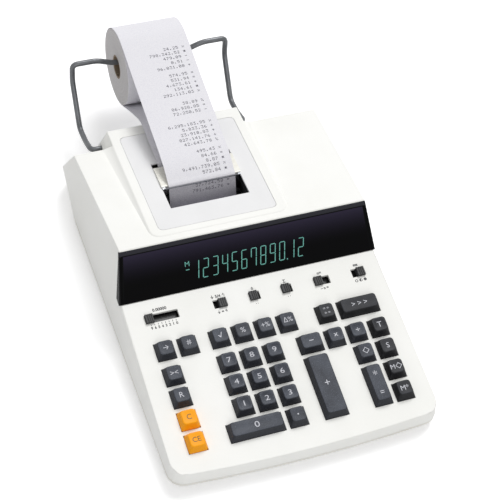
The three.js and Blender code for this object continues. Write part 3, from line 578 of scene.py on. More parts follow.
@dataclass(frozen=True)
class Wound(Finish):
    """The end of a roll: the edges of its turns, as rings about an axis along X."""

    color: int
    ring: int
    axis_y: float
    axis_z: float
    pitch: float = 0.45
    fineness: float = 1800.0

    def dress(self, desk: Desk) -> None:
        """Draws rings by the distance from the axis, uneven like hand-loosened turns.

        Args:
            desk: The material's nodes.
        """
        _, y, z = desk.add("SeparateXYZ", {0: desk.place()}).outputs
        across = desk.math("SUBTRACT", y, self.axis_y * MM)
        up = desk.math("SUBTRACT", z, self.axis_z * MM)
        spot = desk.add("CombineXYZ", {1: across, 2: up}).outputs[0]
        radius = desk.add("VectorMath", {0: spot}, operation="LENGTH").outputs["Value"]
        turns = desk.math("MULTIPLY", radius, 1 / (self.pitch * MM))
        uneven = desk.add("TexNoise", {"W": turns, "Scale": 1.0, "Detail": 3.0},
                          noise_dimensions="1D").outputs[0]
        mask = desk.ramp(uneven, 0.35, 0.7)
        grain = desk.effect(EFFECTS.grain(), Fineness=self.fineness)
        shade = desk.math("MULTIPLY", mask, desk.ramp(grain["Patch"], 0.0, 1.0, 0.7, 1.0))
        desk.feed("Base Color", desk.blend(shade, srgb(self.color), srgb(self.ring)))
        desk.feed("Roughness", desk.ramp(mask, 0.0, 1.0, 0.85, 0.95))
        desk.bump(uneven, strength=0.5, distance=0.12)


@dataclass(frozen=True)
class Ink(Finish):
    """Printed or filled-in marks, slightly uneven in cover."""

    color: int
    thin: int
    roughness: float = 0.6

    def dress(self, desk: Desk) -> None:
        """Thins the colour in small patches.

        Args:
            desk: The material's nodes.
        """
        mask = desk.ramp(desk.noise(1600.0, 3.0), 0.42, 0.72)
        rough = desk.ramp(mask, 0.0, 1.0, self.roughness - 0.08, self.roughness + 0.1)
        desk.feed("Base Color", desk.blend(mask, srgb(self.color), srgb(self.thin)))
        desk.feed("Roughness", rough)


@dataclass(frozen=True)
class Glow(Finish):
    """Lit phosphor segments of the display, brighter in their middle patches."""

    color: int
    bright: int
    base: int = 0x0A1A18
    strength: float = 0.9
    roughness: float = 0.2

    def dress(self, desk: Desk) -> None:
        """Lets the phosphor shine with a fine uneven cover.

        Args:
            desk: The material's nodes.
        """
        cover = desk.ramp(desk.noise(900.0, 2.0), 0.35, 0.65)
        desk.feed("Emission Color", desk.blend(cover, srgb(self.color), srgb(self.bright)))
        desk.feed("Base Color", srgb(self.base))
        desk.feed("Emission Strength", self.strength)
        desk.feed("Roughness", self.roughness)


@dataclass(frozen=True)
class Board(Finish):
    """A lacquered circuit board with copper tracks under its green mask, black at the switches."""

    switches: Pair = (126.0, 162.0)
    ground: tuple[int, int] = (0x1F5A38, 0x23653F)
    track: int = 0x5E8F3E
    band: int = 0x0B0B0C
    fineness: float = 900.0

    def dress(self, desk: Desk) -> None:
        """Draws straight tracks and their ground in two greens, and the band of the switches.

        Args:
            desk: The material's nodes.
        """
        place = desk.place()
        first, second = (srgb(code) for code in self.ground)
        tracks = desk.add("TexBrick", {"Vector": place, "Scale": 120.0, "Mortar Size": 0.05,
                                       "Color1": first, "Color2": second, "Mortar": srgb(self.track)})
        along = desk.add("SeparateXYZ", {0: place}).outputs[1]
        front, rear = (y * MM + CAD_BOX[0][1] for y in self.switches)
        behind = desk.math("GREATER_THAN", along, front)
        before = desk.math("LESS_THAN", along, rear)
        band = desk.math("MULTIPLY", behind, before)
        grain = desk.effect(EFFECTS.grain(), Fineness=self.fineness)
        desk.feed("Base Color", desk.blend(band, tracks.outputs["Color"], srgb(self.band)))
        desk.feed("Roughness", desk.ramp(grain["Patch"], 0.0, 1.0, 0.3, 0.45))
        desk.bump(tracks.outputs["Fac"], strength=0.4, distance=0.05)


@dataclass(frozen=True)
class Glass(Finish):
    """The display tube's glass, faintly stained by its getter."""

    color: int
    stain: int = 0x3B5A55
    fineness: float = 600.0
    clear: float = 0.6
    roughness: float = 0.06

    def dress(self, desk: Desk) -> None:
        """Stains clear glass in slow patches.

        Args:
            desk: The material's nodes.
        """
        grain = desk.effect(EFFECTS.grain(), Fineness=self.fineness)
        desk.feed("Base Color", desk.blend(grain["Patch"], srgb(self.color), srgb(self.stain)))
        desk.feed("Transmission Weight", self.clear)
        desk.feed("Roughness", self.roughness)


CASE = Moulded("ivory_case", Slot.CASE, 0xF8F8F5, 0xF5F5F1, 0xFAFAF8, dust_and_top_light=0.05, shine=0.2)
BASE = Moulded("ivory_base", Slot.BASE, 0xEDECE6, 0xE7E5DD, 0xF3F2EC, dust_and_top_light=0.06)
# The lid's ivory is a little greyer than the case's: its own ivory with painted shade on it.
COVER = Moulded("ivory_cover", Slot.COVER, 0xEDEDEE, 0xE8E8E9, 0xF4F4F4, dust_and_top_light=0.06, shine=0.2)
TEAR = Moulded("cream_tear_plate", Slot.TEAR, 0xEDEBE2, 0xE6E4DA, 0xF6F5EE, roughness=0.3,
               fineness=900.0, depth=0.01, dust_and_top_light=0.1)
# The keys' large dust and top light amounts paint their tops lighter than their sides: painted light,
# on the black keys too.
KEY = Moulded("charcoal_key", Slot.KEY, 0x282A31, 0x24262C, 0x55575E, fineness=3200.0, depth=0.02,
              dust_and_top_light=0.7, dust_and_top_light_color=0x6C727E, worn=0.05, shine=0.25)
BLACK_KEY = Moulded("black_key", Slot.KEY, 0x16171A, 0x121316, 0x3C3D42, fineness=3200.0,
                    depth=0.02, dust_and_top_light=0.35, dust_and_top_light_color=0x5C6068, worn=0.05, shine=0.25)
AMBER = Moulded("amber_key", Slot.AMBER, 0xFFA90C, 0xF7A008, 0xFFBE3C, roughness=0.46,
                fineness=3200.0, depth=0.02, dust_and_top_light=0.02, dust_and_top_light_color=0xE8BC70, worn=0.05, shine=0.2)
KNOB = Moulded("black_knob", Slot.KNOB, 0x222325, 0x1C1D1F, 0x444548, roughness=0.45,
               fineness=3000.0, depth=0.02, dust_and_top_light=0.08, dust_and_top_light_color=0x77756F, shine=0.3)
GUIDE = Moulded("grey_guide", Slot.GUIDE, 0x9A9DA1, 0x92959A, 0xB4B6B9)
RUBBER = Moulded("soft_rubber", Slot.MAT, 0x35363A, 0x2E2F33, 0x4A4B4F, roughness=0.85,
                 fineness=1200.0, depth=0.05)
FOOT = Moulded("foot_rubber", Slot.INLET, 0x2A2A2B, 0x232324, 0x3D3D3E, roughness=0.9,
               fineness=1000.0, depth=0.06, dust_and_top_light=0.3)
PLATEN = Moulded("platen_rubber", Slot.PLATEN, 0x3A3B40, 0x34353A, 0x55565A, roughness=0.8,
                 fineness=1600.0, depth=0.03)
FELT = Moulded("ink_felt", Slot.INK, 0x2A2140, 0x1F1830, 0x3A3052, roughness=0.95, fineness=700.0,
               depth=0.25, dust_and_top_light=0.0)
CORE = Moulded("board_core", Slot.PAPER, 0x8B7A66, 0x7A6A57, 0xA3927C, roughness=0.9,
               fineness=800.0, depth=0.08)
WIRE = Metal("grey_wire", Slot.WIRE, 0x6B6D70, 0x5C5E61, metallic=0.55, roughness=0.38)
STEEL = Metal("plated_steel", Slot.FRAME, 0x9FA2A6, 0x8C8F94)
DARK_STEEL = Metal("dark_steel", Slot.FRAME, 0x4C4E52, 0x3A3C40, metallic=0.8, roughness=0.4)
DRUM = Metal("type_drum", Slot.DRUM, 0xA9A9B2, 0x8F8F99, metallic=0.4, roughness=0.45)
CAN = Metal("motor_can", Slot.MOTOR, 0xA6A9AD, 0x94979B, roughness=0.3)
IRON = Metal("coil_iron", Slot.TRANSFORMER, 0x8F5B34, 0x6B4630, metallic=0.5, roughness=0.5)
PAPER = Paper("roll_paper", Slot.PAPER, 0xEBEAEE, 0xDFDEE5)
# Paper inside the printer window, painted darker as the shade of the recess.
SHADED_PAPER = Paper("paper_with_painted_shade", Slot.PAPER, 0xC6C4CA, 0xABA9B2)
ROLL_END_COLOR = 0xCFCDCD
ROLL_RING_COLOR = 0xB1AEAF
PRINT = Ink("printed_figures", Slot.PAPER, 0x1E1C28, 0x4A4760, 0.8)
KEY_MARK = Ink("key_marks", Slot.KEY, 0xC6C7CE, 0xA9AAB2, 0.5)
AMBER_MARK = Ink("amber_marks", Slot.AMBER, 0x5A3A12, 0x7A5520, 0.5)
CASE_MARK = Ink("case_marks", Slot.CASE, 0x2E2E30, 0x4A4A4C)
GLOW = Glow("lit_segments", Slot.TUBE, 0x4C9689, 0x6DB0A5)
BOARD = Board("circuit_board", Slot.BOARD)
# A black panel with a purple reflection painted in from 50 to 71 mm up and a lighter painted
# reflection on its top band.
PANEL = Polished("black_panel", Slot.WINDOW, 0x000001, 0x322D40, 50, 71)
PANEL_EDGE = Polished("panel_edge", Slot.WINDOW, 0x020203, 0x030304, 40, 76, lip=0x020203,
                      roughness=0.3)
CHEEK = Polished("panel_cheek", Slot.WINDOW, 0x1C1C1E, 0x141416, 40, 70, lip=0x101012,
                 roughness=0.25)
GLASS = Glass("tube_glass", Slot.TUBE, 0x2B4A45)


def node_shape(node: str) -> Shape:
    """A construction node's own mesh, with its doubled points welded.

    Args:
        node: The node's name.

    Returns:
        The mesh in millimetres.
    """
    shape = bmesh.new()
    shape.from_mesh(frame["nodes"][node].data)
    shape.transform(Matrix.Scale(1 / MM, 4))
    bmesh.ops.remove_doubles(shape, verts=shape.verts, dist=WELD)
    return shape


def node_bounds(node: str, place: Matrix = IDENTITY) -> tuple[Vector, Vector]:
    """The bounds of a node in a plane of its own.

    Args:
        node: The node's name.
        place: The plane.

    Returns:
        The lowest and the highest corner, in millimetres.
    """
    inverse = place.inverted()
    points = [inverse @ (v.co / MM) for v in frame["nodes"][node].data.vertices]
    low = Vector([min(p[i] for p in points) for i in range(3)])
    high = Vector([max(p[i] for p in points) for i in range(3)])
    return low, high


def rounded_ring(width: float, depth: float, radius: float, z: float,
                 centre: Pair = (0.0, 0.0), steps: int = 5) -> Line:
    """A rounded rectangle as a ring of points at one height.

    Args:
        width: Its size along X.
        depth: Its size along Y.
        radius: The radius of its corners.
        z: Its height.
        centre: Its middle.
        steps: Steps round each corner.

    Returns:
        The ring.
    """
    ring = []
    for side_x, side_y, start in ((1, -1, -90), (1, 1, 0), (-1, 1, 90), (-1, -1, 180)):
        for step in range(steps + 1):
            angle = math.radians(start + 90 * step / steps)
            ring.append(Vector((
                centre[0] + side_x * (width / 2 - radius) + radius * math.cos(angle),
                centre[1] + side_y * (depth / 2 - radius) + radius * math.sin(angle), z)))
    return ring


def loft(rings: Sequence[Line]) -> Shape:
    """A closed solid through rings of the same number of points, with its ends filled.

    Args:
        rings: The rings, from one end to the other.

    Returns:
        The solid.
    """
    shape = bmesh.new()
    rows = [[shape.verts.new(point) for point in ring] for ring in rings]
    count = len(rows[0])
    for low, high in zip(rows, rows[1:]):
        for i in range(count):
            shape.faces.new((low[i], low[(i + 1) % count], high[(i + 1) % count], high[i]))
    shape.faces.new(reversed(rows[0]))
    shape.faces.new(rows[-1])
    return shape


def lathe(profile: Sequence[Pair], sides: int) -> Shape:
    """A closed profile turned about the X axis.

    Args:
        profile: Its points, as (radius, place along X).
        sides: Steps round the axis.

    Returns:
        The solid.
    """
    shape = bmesh.new()
    rows = []
    for radius, along in profile:
        angles = [2 * math.pi * i / sides for i in range(sides)]
        rows.append([shape.verts.new((along, radius * math.cos(a), radius * math.sin(a)))
                     for a in angles])
    for low, high in zip(rows, rows[1:] + rows[:1]):
        for i in range(sides):
            shape.faces.new((low[i], low[(i + 1) % sides], high[(i + 1) % sides], high[i]))
    return shape


def sweep(path: Line, radius: float, sides: int) -> Shape:
    """A round bar along a path, its section carried along without twist.

    Args:
        path: The bar's middle line.
        radius: The bar's radius.
        sides: Steps round the bar.

    Returns:
        The bar, with its ends filled.
    """
    rings = []
    side = None
    for i, point in enumerate(path):
        ahead = (path[min(i + 1, len(path) - 1)] - path[max(i - 1, 0)]).normalized()
        if side is None:
            side = ahead.orthogonal().normalized()
        side = (side - ahead * side.dot(ahead)).normalized()
        other = ahead.cross(side)
        rings.append([point + radius * (math.cos(a) * side + math.sin(a) * other)
                      for a in (2 * math.pi * k / sides for k in range(sides))])
    return loft(rings)


def box(low: Sequence[float], high: Sequence[float]) -> Shape:
    """A block between two corners, to be softened or cut by what uses it."""
    outline = ((low[0], low[1]), (high[0], low[1]), (high[0], high[1]), (low[0], high[1]))
    return loft([[Vector((x, y, z)) for x, y in outline] for z in (low[2], high[2])])


def prism(outline: Sequence[Pair], left: float, right: float) -> Shape:
    """An outline of (Y, Z) points run along X between two places."""
    return loft([[Vector((x, y, z)) for y, z in outline] for x in (left, right)])


def merge(shapes: Sequence[Shape]) -> Shape:
    """Gathers several shapes in one, each still closed in itself.

    Args:
        shapes: The shapes, used up.

    Returns:
        The shape that holds them all.
    """
    whole = bmesh.new()
    for shape in shapes:
        mesh = bpy.data.meshes.new("part")
        shape.to_mesh(mesh)
        shape.free()
        whole.from_mesh(mesh)
        bpy.data.meshes.remove(mesh)
    return whole


def moved(shape: Shape, x: float, y: float, z: float = 0.0) -> Shape:
    """Shifts a shape in place and returns it."""
    bmesh.ops.translate(shape, verts=shape.verts, vec=(x, y, z))
    return shape


def join_flat(shape: Shape) -> Shape:
    """Joins the faces of a shape that lie in one plane.

    Args:
        shape: The shape, changed in place.

    Returns:
        The same shape.
    """
    bmesh.ops.dissolve_limit(shape, angle_limit=math.radians(FLAT), verts=shape.verts,
                             edges=shape.edges)
    shape.normal_update()
    return shape


def soften(shape: Shape, width: float, segments: int = 2, angle: float = 25,
           chosen: Callable[[Edge], bool] = lambda edge: True) -> Shape:
    """Rounds the sharp edges of a shape.

    Args:
        shape: The shape, changed in place.
        width: How far from the edge the rounding starts.
        segments: Steps across the rounding.
        angle: The least turn between two faces that counts as sharp, in degrees.
        chosen: Says of an edge whether it is rounded.

    Returns:
        The same shape.
    """
    least = math.radians(angle)
    edges = [e for e in shape.edges
             if len(e.link_faces) == 2 and e.calc_face_angle(0) > least and chosen(e)]
    if edges:
        bmesh.ops.bevel(shape, geom=edges, offset=width, segments=segments, profile=0.5,
                        affect="EDGES", clamp_overlap=False)
    return shape


def place(shape: Shape, name: str, finish: Finish, body: str, plane: Matrix = IDENTITY,
          replaces: Sequence[str] = (), crease: float = 35, extra: Sequence[Finish] = (),
          rides: bool = True) -> bpy.types.Object:
    """Turns a shape into a piece that stands in the frame and rides on a body.

    Args:
        shape: The shape in millimetres, used up.
        name: The piece's name.
        finish: What it is dressed in.
        body: The body it rides on.
        plane: The plane that the shape was drawn in.
        replaces: Construction nodes that it stands for.
        crease: The least turn between faces that stays sharp, in degrees.
        extra: Further finishes, for faces with a higher material number.
        rides: False to leave the piece on no body.

    Returns:
        The piece.
    """
    bmesh.ops.recalc_face_normals(shape, faces=shape.faces)
    shape.transform(Matrix.Scale(MM, 4) @ plane)
    mesh = bpy.data.meshes.new(name)
    shape.to_mesh(mesh)
    shape.free()
    mesh.shade_smooth()
    mesh.set_sharp_from_angle(angle=math.radians(crease))
    piece = bpy.data.objects.new(name, mesh)
    bpy.context.scene.collection.objects.link(piece)
    for each in (finish, *extra):
        mesh.materials.append(each.material())
    if rides:
        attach(piece, body)
    if replaces:
        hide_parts(*replaces)
    LOG.info("%s: %d faces, rides on %s", name, len(mesh.polygons), body)
    return piece


def even(piece: bpy.types.Object) -> None:
    """Keeps large flat faces flat in the shading beside rounded edges."""
    piece.modifiers.new("even_shading", "WEIGHTED_NORMAL").keep_sharp = True


def dress_node(node: str, finish: Finish) -> None:
    """Gives a construction node that stays in view its finish.

    Args:
        node: The node's name.
        finish: What it is dressed in.
    """
    mesh = frame["nodes"][node].data
    mesh.materials.clear()
    mesh.materials.append(finish.material())
    LOG.info("%s keeps its own shape, dressed as %s", node, finish.name)


@dataclass(frozen=True)
class Lettering:
    """Flat marks cut from the plain built-in letter shapes."""

    cover: float = 0.06
    capital_share: float = 0.72
    curve_steps: int = 3

    def cut(self, text: str, height: float, width_share: float = 1.0, bold: float = 0.0) -> Shape:
        """Cuts a text or sign as a thin closed shape centred on zero.

        Args:
            text: What the mark says.
            height: The size of the letters.
            width_share: How wide the letters are drawn, as a share of their own width.
            bold: How far the strokes swell on each side.

        Returns:
            The shape in the XY plane, in millimetres.
        """
        curve = bpy.data.curves.new("mark", "FONT")
        curve.body = text
        curve.size = height / self.capital_share
        curve.resolution_u = self.curve_steps
        curve.extrude = self.cover / 2
        curve.offset = bold
        draft = bpy.data.objects.new("mark", curve)
        bpy.context.scene.collection.objects.link(draft)
        graph = bpy.context.evaluated_depsgraph_get()
        mesh = bpy.data.meshes.new_from_object(draft.evaluated_get(graph))
        shape = bmesh.new()
        shape.from_mesh(mesh)
        for data in (mesh, curve):
            bpy.data.batch_remove([data])
        bmesh.ops.remove_doubles(shape, verts=shape.verts, dist=WELD)
        xs = [v.co.x for v in shape.verts]
        ys = [v.co.y for v in shape.verts]
        middle = Vector(((min(xs) + max(xs)) / 2, (min(ys) + max(ys)) / 2, 0))
        for vert in shape.verts:
            vert.co -= middle
            vert.co.x *= width_share
        return shape

    def settle(self, shape: Shape, surface: Surface, step: float = 0.5) -> Shape:
        """Lays a flat mark on a curved surface, cut finely enough to follow it.

        Args:
            shape: The mark, changed in place.
            surface: The surface's height at a place.
            step: How far apart the cuts are.

        Returns:
            The same mark.
        """
        reach = max(max(abs(v.co.x), abs(v.co.y)) for v in shape.verts)
        count = int(reach / step) + 1
        for axis in (Vector((1, 0, 0)), Vector((0, 1, 0))):
            for i in range(-count, count + 1):
                geometry = [*shape.verts, *shape.edges, *shape.faces]
                bmesh.ops.bisect_plane(shape, geom=geometry, plane_co=axis * i * step, plane_no=axis)
        for vert in shape.verts:
            vert.co.z += surface(vert.co.x, vert.co.y)
        return shape


LETTERS = Lettering()


@dataclass
class Assembly:
    """A group of pieces that stand in the planes of one layout."""

    layout: Layout

    def build(self) -> None:
        """Builds the pieces; each assembly does this its own way."""
        raise NotImplementedError


@dataclass(frozen=True)
class Lamp:
    """A square soft box that faces the middle of the scene, in metres and watts."""

    name: str
    place: tuple[float, float, float]
    size: float
    power: float


@dataclass
class Studio(Assembly):
    """Camera, floor, lamps and surroundings, which stand apart from the calculator."""

    lens: float = 122.87
    sensor: float = 36
    clip: Pair = (0.05, 20)
    eye: tuple[float, float, float] = (-400.7, -535.9, 1157.1)
    angles: tuple[float, float, float] = (35.69636, -7.41516, -19.66840)
    floor_size: float = 4
    floor_tones: tuple[int, int] = (0xF6F6F6, 0xF2F2F3)
    floor_roughness: float = 0.9
    floor_lift: float = 0.34
    white: int = 0xFFFFFF
    world_strength: float = 0.435
    lamps: tuple[Lamp, ...] = (
        Lamp("key_light", (3.5, 4.4, 8.8), 4.4, 662.0),
        Lamp("front_light", (-0.3, -2.6, 1.9), 1.6, 18.0),
    )

    def build(self) -> None:
        """Sets up everything that the picture is taken with."""
        self.build_camera()
        self.build_floor()
        self.build_lamps()
        self.build_surroundings()

    def build_camera(self) -> None:
        """Places the camera where the photograph was taken from."""
        data = bpy.data.cameras.new("camera")
        data.lens = self.lens
        data.sensor_fit = "HORIZONTAL"
        data.sensor_width = self.sensor
        data.clip_start, data.clip_end = self.clip
        camera = bpy.data.objects.new("camera", data)
        x, y, z = self.eye
        camera.location = Vector((x, y + self.layout.shift, z)) * MM
        camera.rotation_euler = [math.radians(angle) for angle in self.angles]
        bpy.context.scene.collection.objects.link(camera)
        bpy.context.scene.camera = camera

    @staticmethod
    def seen(desk: Desk) -> Socket:
        """Tells where a surface is looked at from where it only lights others.

        Args:
            desk: Where the nodes are added.

        Returns:
            One where it is looked at straight, in gloss or through glass, and nought elsewhere.
        """
        path = desk.add("LightPath").outputs
        mirrored = desk.math("MAXIMUM", path["Is Glossy Ray"], path["Is Transmission Ray"])
        return desk.math("MAXIMUM", path["Is Camera Ray"], mirrored)

    def build_floor(self) -> None:
        """Lays a pale floor that shows as white but keeps the calculator's soft shadow."""
        shape = bmesh.new()
        bmesh.ops.create_grid(shape, x_segments=8, y_segments=8, size=self.floor_size)
        mesh = bpy.data.meshes.new("floor")
        shape.to_mesh(mesh)
        shape.free()
        floor = bpy.data.objects.new("floor", mesh)
        bpy.context.scene.collection.objects.link(floor)
        material = bpy.data.materials.new("studio_floor")
        material.use_nodes = True
        desk = Desk(material.node_tree)
        shader = material.node_tree.nodes["Principled BSDF"].outputs[0]
        first, second = (srgb(code) for code in self.floor_tones)
        desk.feed("Base Color", desk.blend(desk.noise(3.0, 3.0), first, second))
        desk.feed("Roughness", self.floor_roughness)
        desk.feed("Specular IOR Level", 0.0)
        glow = {"Color": srgb(self.white), "Strength": self.floor_lift}
        lift = desk.add("Emission", glow).outputs[0]
        both = desk.add("AddShader", {0: shader, 1: lift}).outputs[0]
        chosen = desk.add("MixShader", {0: self.seen(desk), 1: shader, 2: both}).outputs[0]
        desk.put(material.node_tree.nodes["Material Output"].inputs["Surface"], chosen)
        mesh.materials.append(material)

    def build_lamps(self) -> None:
        """Hangs the soft boxes: one high at the right, one weak at the front."""
        for lamp in self.lamps:
            data = bpy.data.lights.new(lamp.name, "AREA")
            data.shape = "SQUARE"
            data.size = lamp.size
            data.energy = lamp.power
            hung = bpy.data.objects.new(lamp.name, data)
            hung.location = lamp.place
            hung.rotation_euler = (-Vector(lamp.place)).to_track_quat("-Z", "Y").to_euler()
            bpy.context.scene.collection.objects.link(hung)

    def build_surroundings(self) -> None:
        """Surrounds the scene with even pale light, which shows as white where it is looked at."""
        world = bpy.data.worlds.new("surroundings")
        world.use_nodes = True
        desk = Desk(world.node_tree)
        light = world.node_tree.nodes["Background"].inputs
        desk.put(light["Color"], srgb(self.white))
        desk.put(light["Strength"], desk.ramp(self.seen(desk), 0.0, 1.0, self.world_strength, 1.0))
        scene = bpy.context.scene
        scene.world = world
        scene.view_settings.view_transform = "Standard"


@dataclass(frozen=True)
class CasingSizes:
    """Roundings, openings and feet of the case; edges at an opening stay sharp."""

    edge: float = 0.8
    least_up: float = 0.1
    side_margin: float = 2.0
    deck_depth: float = 0.5
    deck_run: Pair = (4, 149)
    recess_depth: float = 0.4
    recess_run: Pair = (-1, 46)
    lid_half: float = 52.5
    lid_depth: float = 4
    lid_run: Pair = (3, 115)
    arm_hole: float = 5.0
    inlet_x: float = 72
    inlet_half: float = 9
    inlet_top: float = 34
    foot_x: float = 89.5
    foot_inset: float = 23.0
    foot_lift: float = 1.0
    pad_steps: int = 40
    pad: tuple[Pair, ...] = (
        (5.4, 0.7), (5.8, 0.15), (6.3, 0.0), (8.5, 0.0), (9.1, 0.5), (9.1, 1.25))


@dataclass(frozen=True)
class SlotMark:
    """A slide switch's slot and the plain signs printed beside it."""

    left: float
    length: float
    above: str
    below: str = ""


@dataclass(frozen=True)
class MarkSizes:
    """The print on the deck: how high it is and how far it stands from the slots."""

    slot_front: float = 132.0
    slot_rear: float = 139.5
    stroke: float = 0.12
    lift: float = 0.02
    above: float = 3.1
    above_height: float = 2.6
    below: float = 3.4
    below_height: float = 2.3
    digit: float = 4.3
    digit_height: float = 2.2
    scale_start: float = 3.6
    scale_run: float = 20.7
    tick_half: float = 0.2
    tick_near: float = 0.9
    tick_far: float = 2.4
    tick_cover: Pair = (-0.02, 0.05)


class Casing(Assembly):
    """Upper and lower case, rubber feet and the marks printed on the deck."""

    sizes = CasingSizes()
    mark_sizes = MarkSizes()
    scale = "96543210"
    marks = (
        SlotMark(-94.0, 28.0, "0.00000"),
        SlotMark(-36.7, 11.2, "↓ 5/4 ↑", "↓ = ↑"),
        SlotMark(-6.4, 9.2, "±", "· ·"),
        SlotMark(21.3, 9.2, "Σ", "· ·"),
        SlotMark(49.7, 13.8, "n=", "– n ="),
        SlotMark(83.0, 11.3, "≡≡", "○ ◐ ●"),
    )

    def build(self) -> None:
        """Builds the case from its shell outwards."""
        self.build_top()
        self.build_base()
        self.build_feet()
        self.build_marks()

    def on_outside(self, edge: Edge) -> bool:
        """Whether an edge of the upper case is one that a hand can feel from outside.

        Args:
            edge: The edge.

        Returns:
            False for a hollow edge, and for one that looks down or lies at an opening.
        """
        s, layout = self.sizes, self.layout
        middle = (edge.verts[0].co + edge.verts[1].co) / 2
        normal = sum((f.normal for f in edge.link_faces), Vector()).normalized()
        if not edge.is_convex or normal.z < s.least_up:
            return False
        on_deck = layout.deck.inverted() @ middle
        inside = abs(middle.x) < layout.side_at(middle.z) - s.side_margin
        if abs(on_deck.z) < s.deck_depth and inside and s.deck_run[0] < on_deck.y < s.deck_run[1]:
            return False
        on_display = layout.display.inverted() @ middle
        if on_display.z < -s.recess_depth and s.recess_run[0] < on_display.y < s.recess_run[1]:
            return False
        on_top = layout.housing.inverted() @ middle
        along_lid = s.lid_run[0] < on_top.y < s.lid_run[1]
        if abs(on_top.x) < s.lid_half and along_lid and abs(on_top.z) < s.lid_depth:
            return False
        at_inlet = abs(middle.x - s.inlet_x) < s.inlet_half and middle.z < s.inlet_top
        hole = Vector((0, layout.pivot_y + layout.shift, layout.pivot_height))
        return (Vector((0, middle.y, middle.z)) - hole).length > s.arm_hole and not at_inlet

    def build_top(self) -> None:
        """Rounds the outer edges of the upper case, as a mould leaves them."""
        shape = join_flat(node_shape("upper_case"))
        soften(shape, self.sizes.edge, segments=3, angle=20, chosen=self.on_outside)
        even(place(shape, "case_top", CASE, "root", replaces=["upper_case"], crease=30))

    def build_base(self) -> None:
        """Lifts the lower case's bottom rim to leave room for the rubber feet."""
        shape = node_shape("lower_case")
        for vert in shape.verts:
            if vert.co.z < WELD:
                vert.co.z = self.sizes.foot_lift
        even(place(join_flat(shape), "case_base", BASE, "root", replaces=["lower_case"], crease=30))

    def build_feet(self) -> None:
        """Puts a hollow-faced rubber pad under each foot of the case."""
        s = self.sizes
        front = node_bounds("lower_case")[0].y + s.foot_inset
        angles = [2 * math.pi * k / s.pad_steps for k in range(s.pad_steps)]
        pads = []
        for x in (-s.foot_x, s.foot_x):
            for y in (front, self.rear_foot()):
                pads.append(loft([[Vector((x + r * math.cos(a), y + r * math.sin(a), z))
                                   for a in angles] for r, z in s.pad]))
        place(merge(pads), "rubber_feet", FOOT, "root")

    def rear_foot(self) -> float:
        """Where the rear feet of the construction stand.

        Returns:
            Their place along Y.
        """
        shape = node_shape("lower_case")
        rear = [v.co.y for v in shape.verts if v.co.z < WELD and v.co.y > 0]
        shape.free()
        return (min(rear) + max(rear)) / 2

    def build_marks(self) -> None:
        """Prints the scale under the longest slot and a plain sign at the others."""
        m = self.mark_sizes
        prints = []
        for mark in self.marks:
            middle = mark.left + mark.length / 2
            rows = [(mark.above, m.slot_rear + m.above, m.above_height)]
            if mark.below:
                rows.append((mark.below, m.slot_front - m.below, m.below_height))
            for text, along, height in rows:
                prints.append(moved(LETTERS.cut(text, height, bold=m.stroke), middle, along, m.lift))
        pitch = m.scale_run / (len(self.scale) - 1)
        for i, digit in enumerate(self.scale):
            x = self.marks[0].left + m.scale_start + pitch * i
            shape = LETTERS.cut(digit, m.digit_height, bold=m.stroke)
            prints.append(moved(shape, x, m.slot_front - m.digit, m.lift))
            prints.append(box((x - m.tick_half, m.slot_front - m.tick_far, m.tick_cover[0]),
                              (x + m.tick_half, m.slot_front - m.tick_near, m.tick_cover[1])))
        place(merge(prints), "deck_marks", CASE_MARK, "root", self.layout.deck, crease=60)


@dataclass(frozen=True)
class DisplaySizes:
    """The display panel and the figures lit behind it."""

    thickness: float = 2.4
    groove_at: float = 39.6
    groove: float = 0.7
    groove_depth: float = 0.35
    edge: float = 0.3
    side_rim: float = 2.2
    rim_line: float = 0.9
    line_cover: Pair = (-0.2, 0.03)
    line_reach: float = 0.975
    line_foot: float = 1.0
    cheek_inner: float = 0.985
    cheek_under: float = 0.9
    cheek_top: float = 0.04
    cheek_rise: float = 4.6
    cheek_foot: float = 6.2
    cheek_head: float = 1.6
    cheek_proud: float = 1.3
    cheek_proud_head: float = 0.1
    lit_cover: Pair = (-0.03, 0.05)
    figure_low: float = 9.0
    figure_height: float = 15.3
    figure_width: float = 4.3
    figure_pitch: float = 8.16
    first_figure: float = -44.9
    stroke: float = 0.72
    gap: float = 0.12
    lean: float = 6.0
    point_shift: float = 0.6
    point_half: Pair = (0.45, 0.5)
    sign_left: float = 6.2
    sign_half: float = 1.5
    sign_rise: Pair = (8.7, 9.4)
    memory_height: float = 4.2
    memory_rise: float = 13.9
    memory_lift: float = 0.02


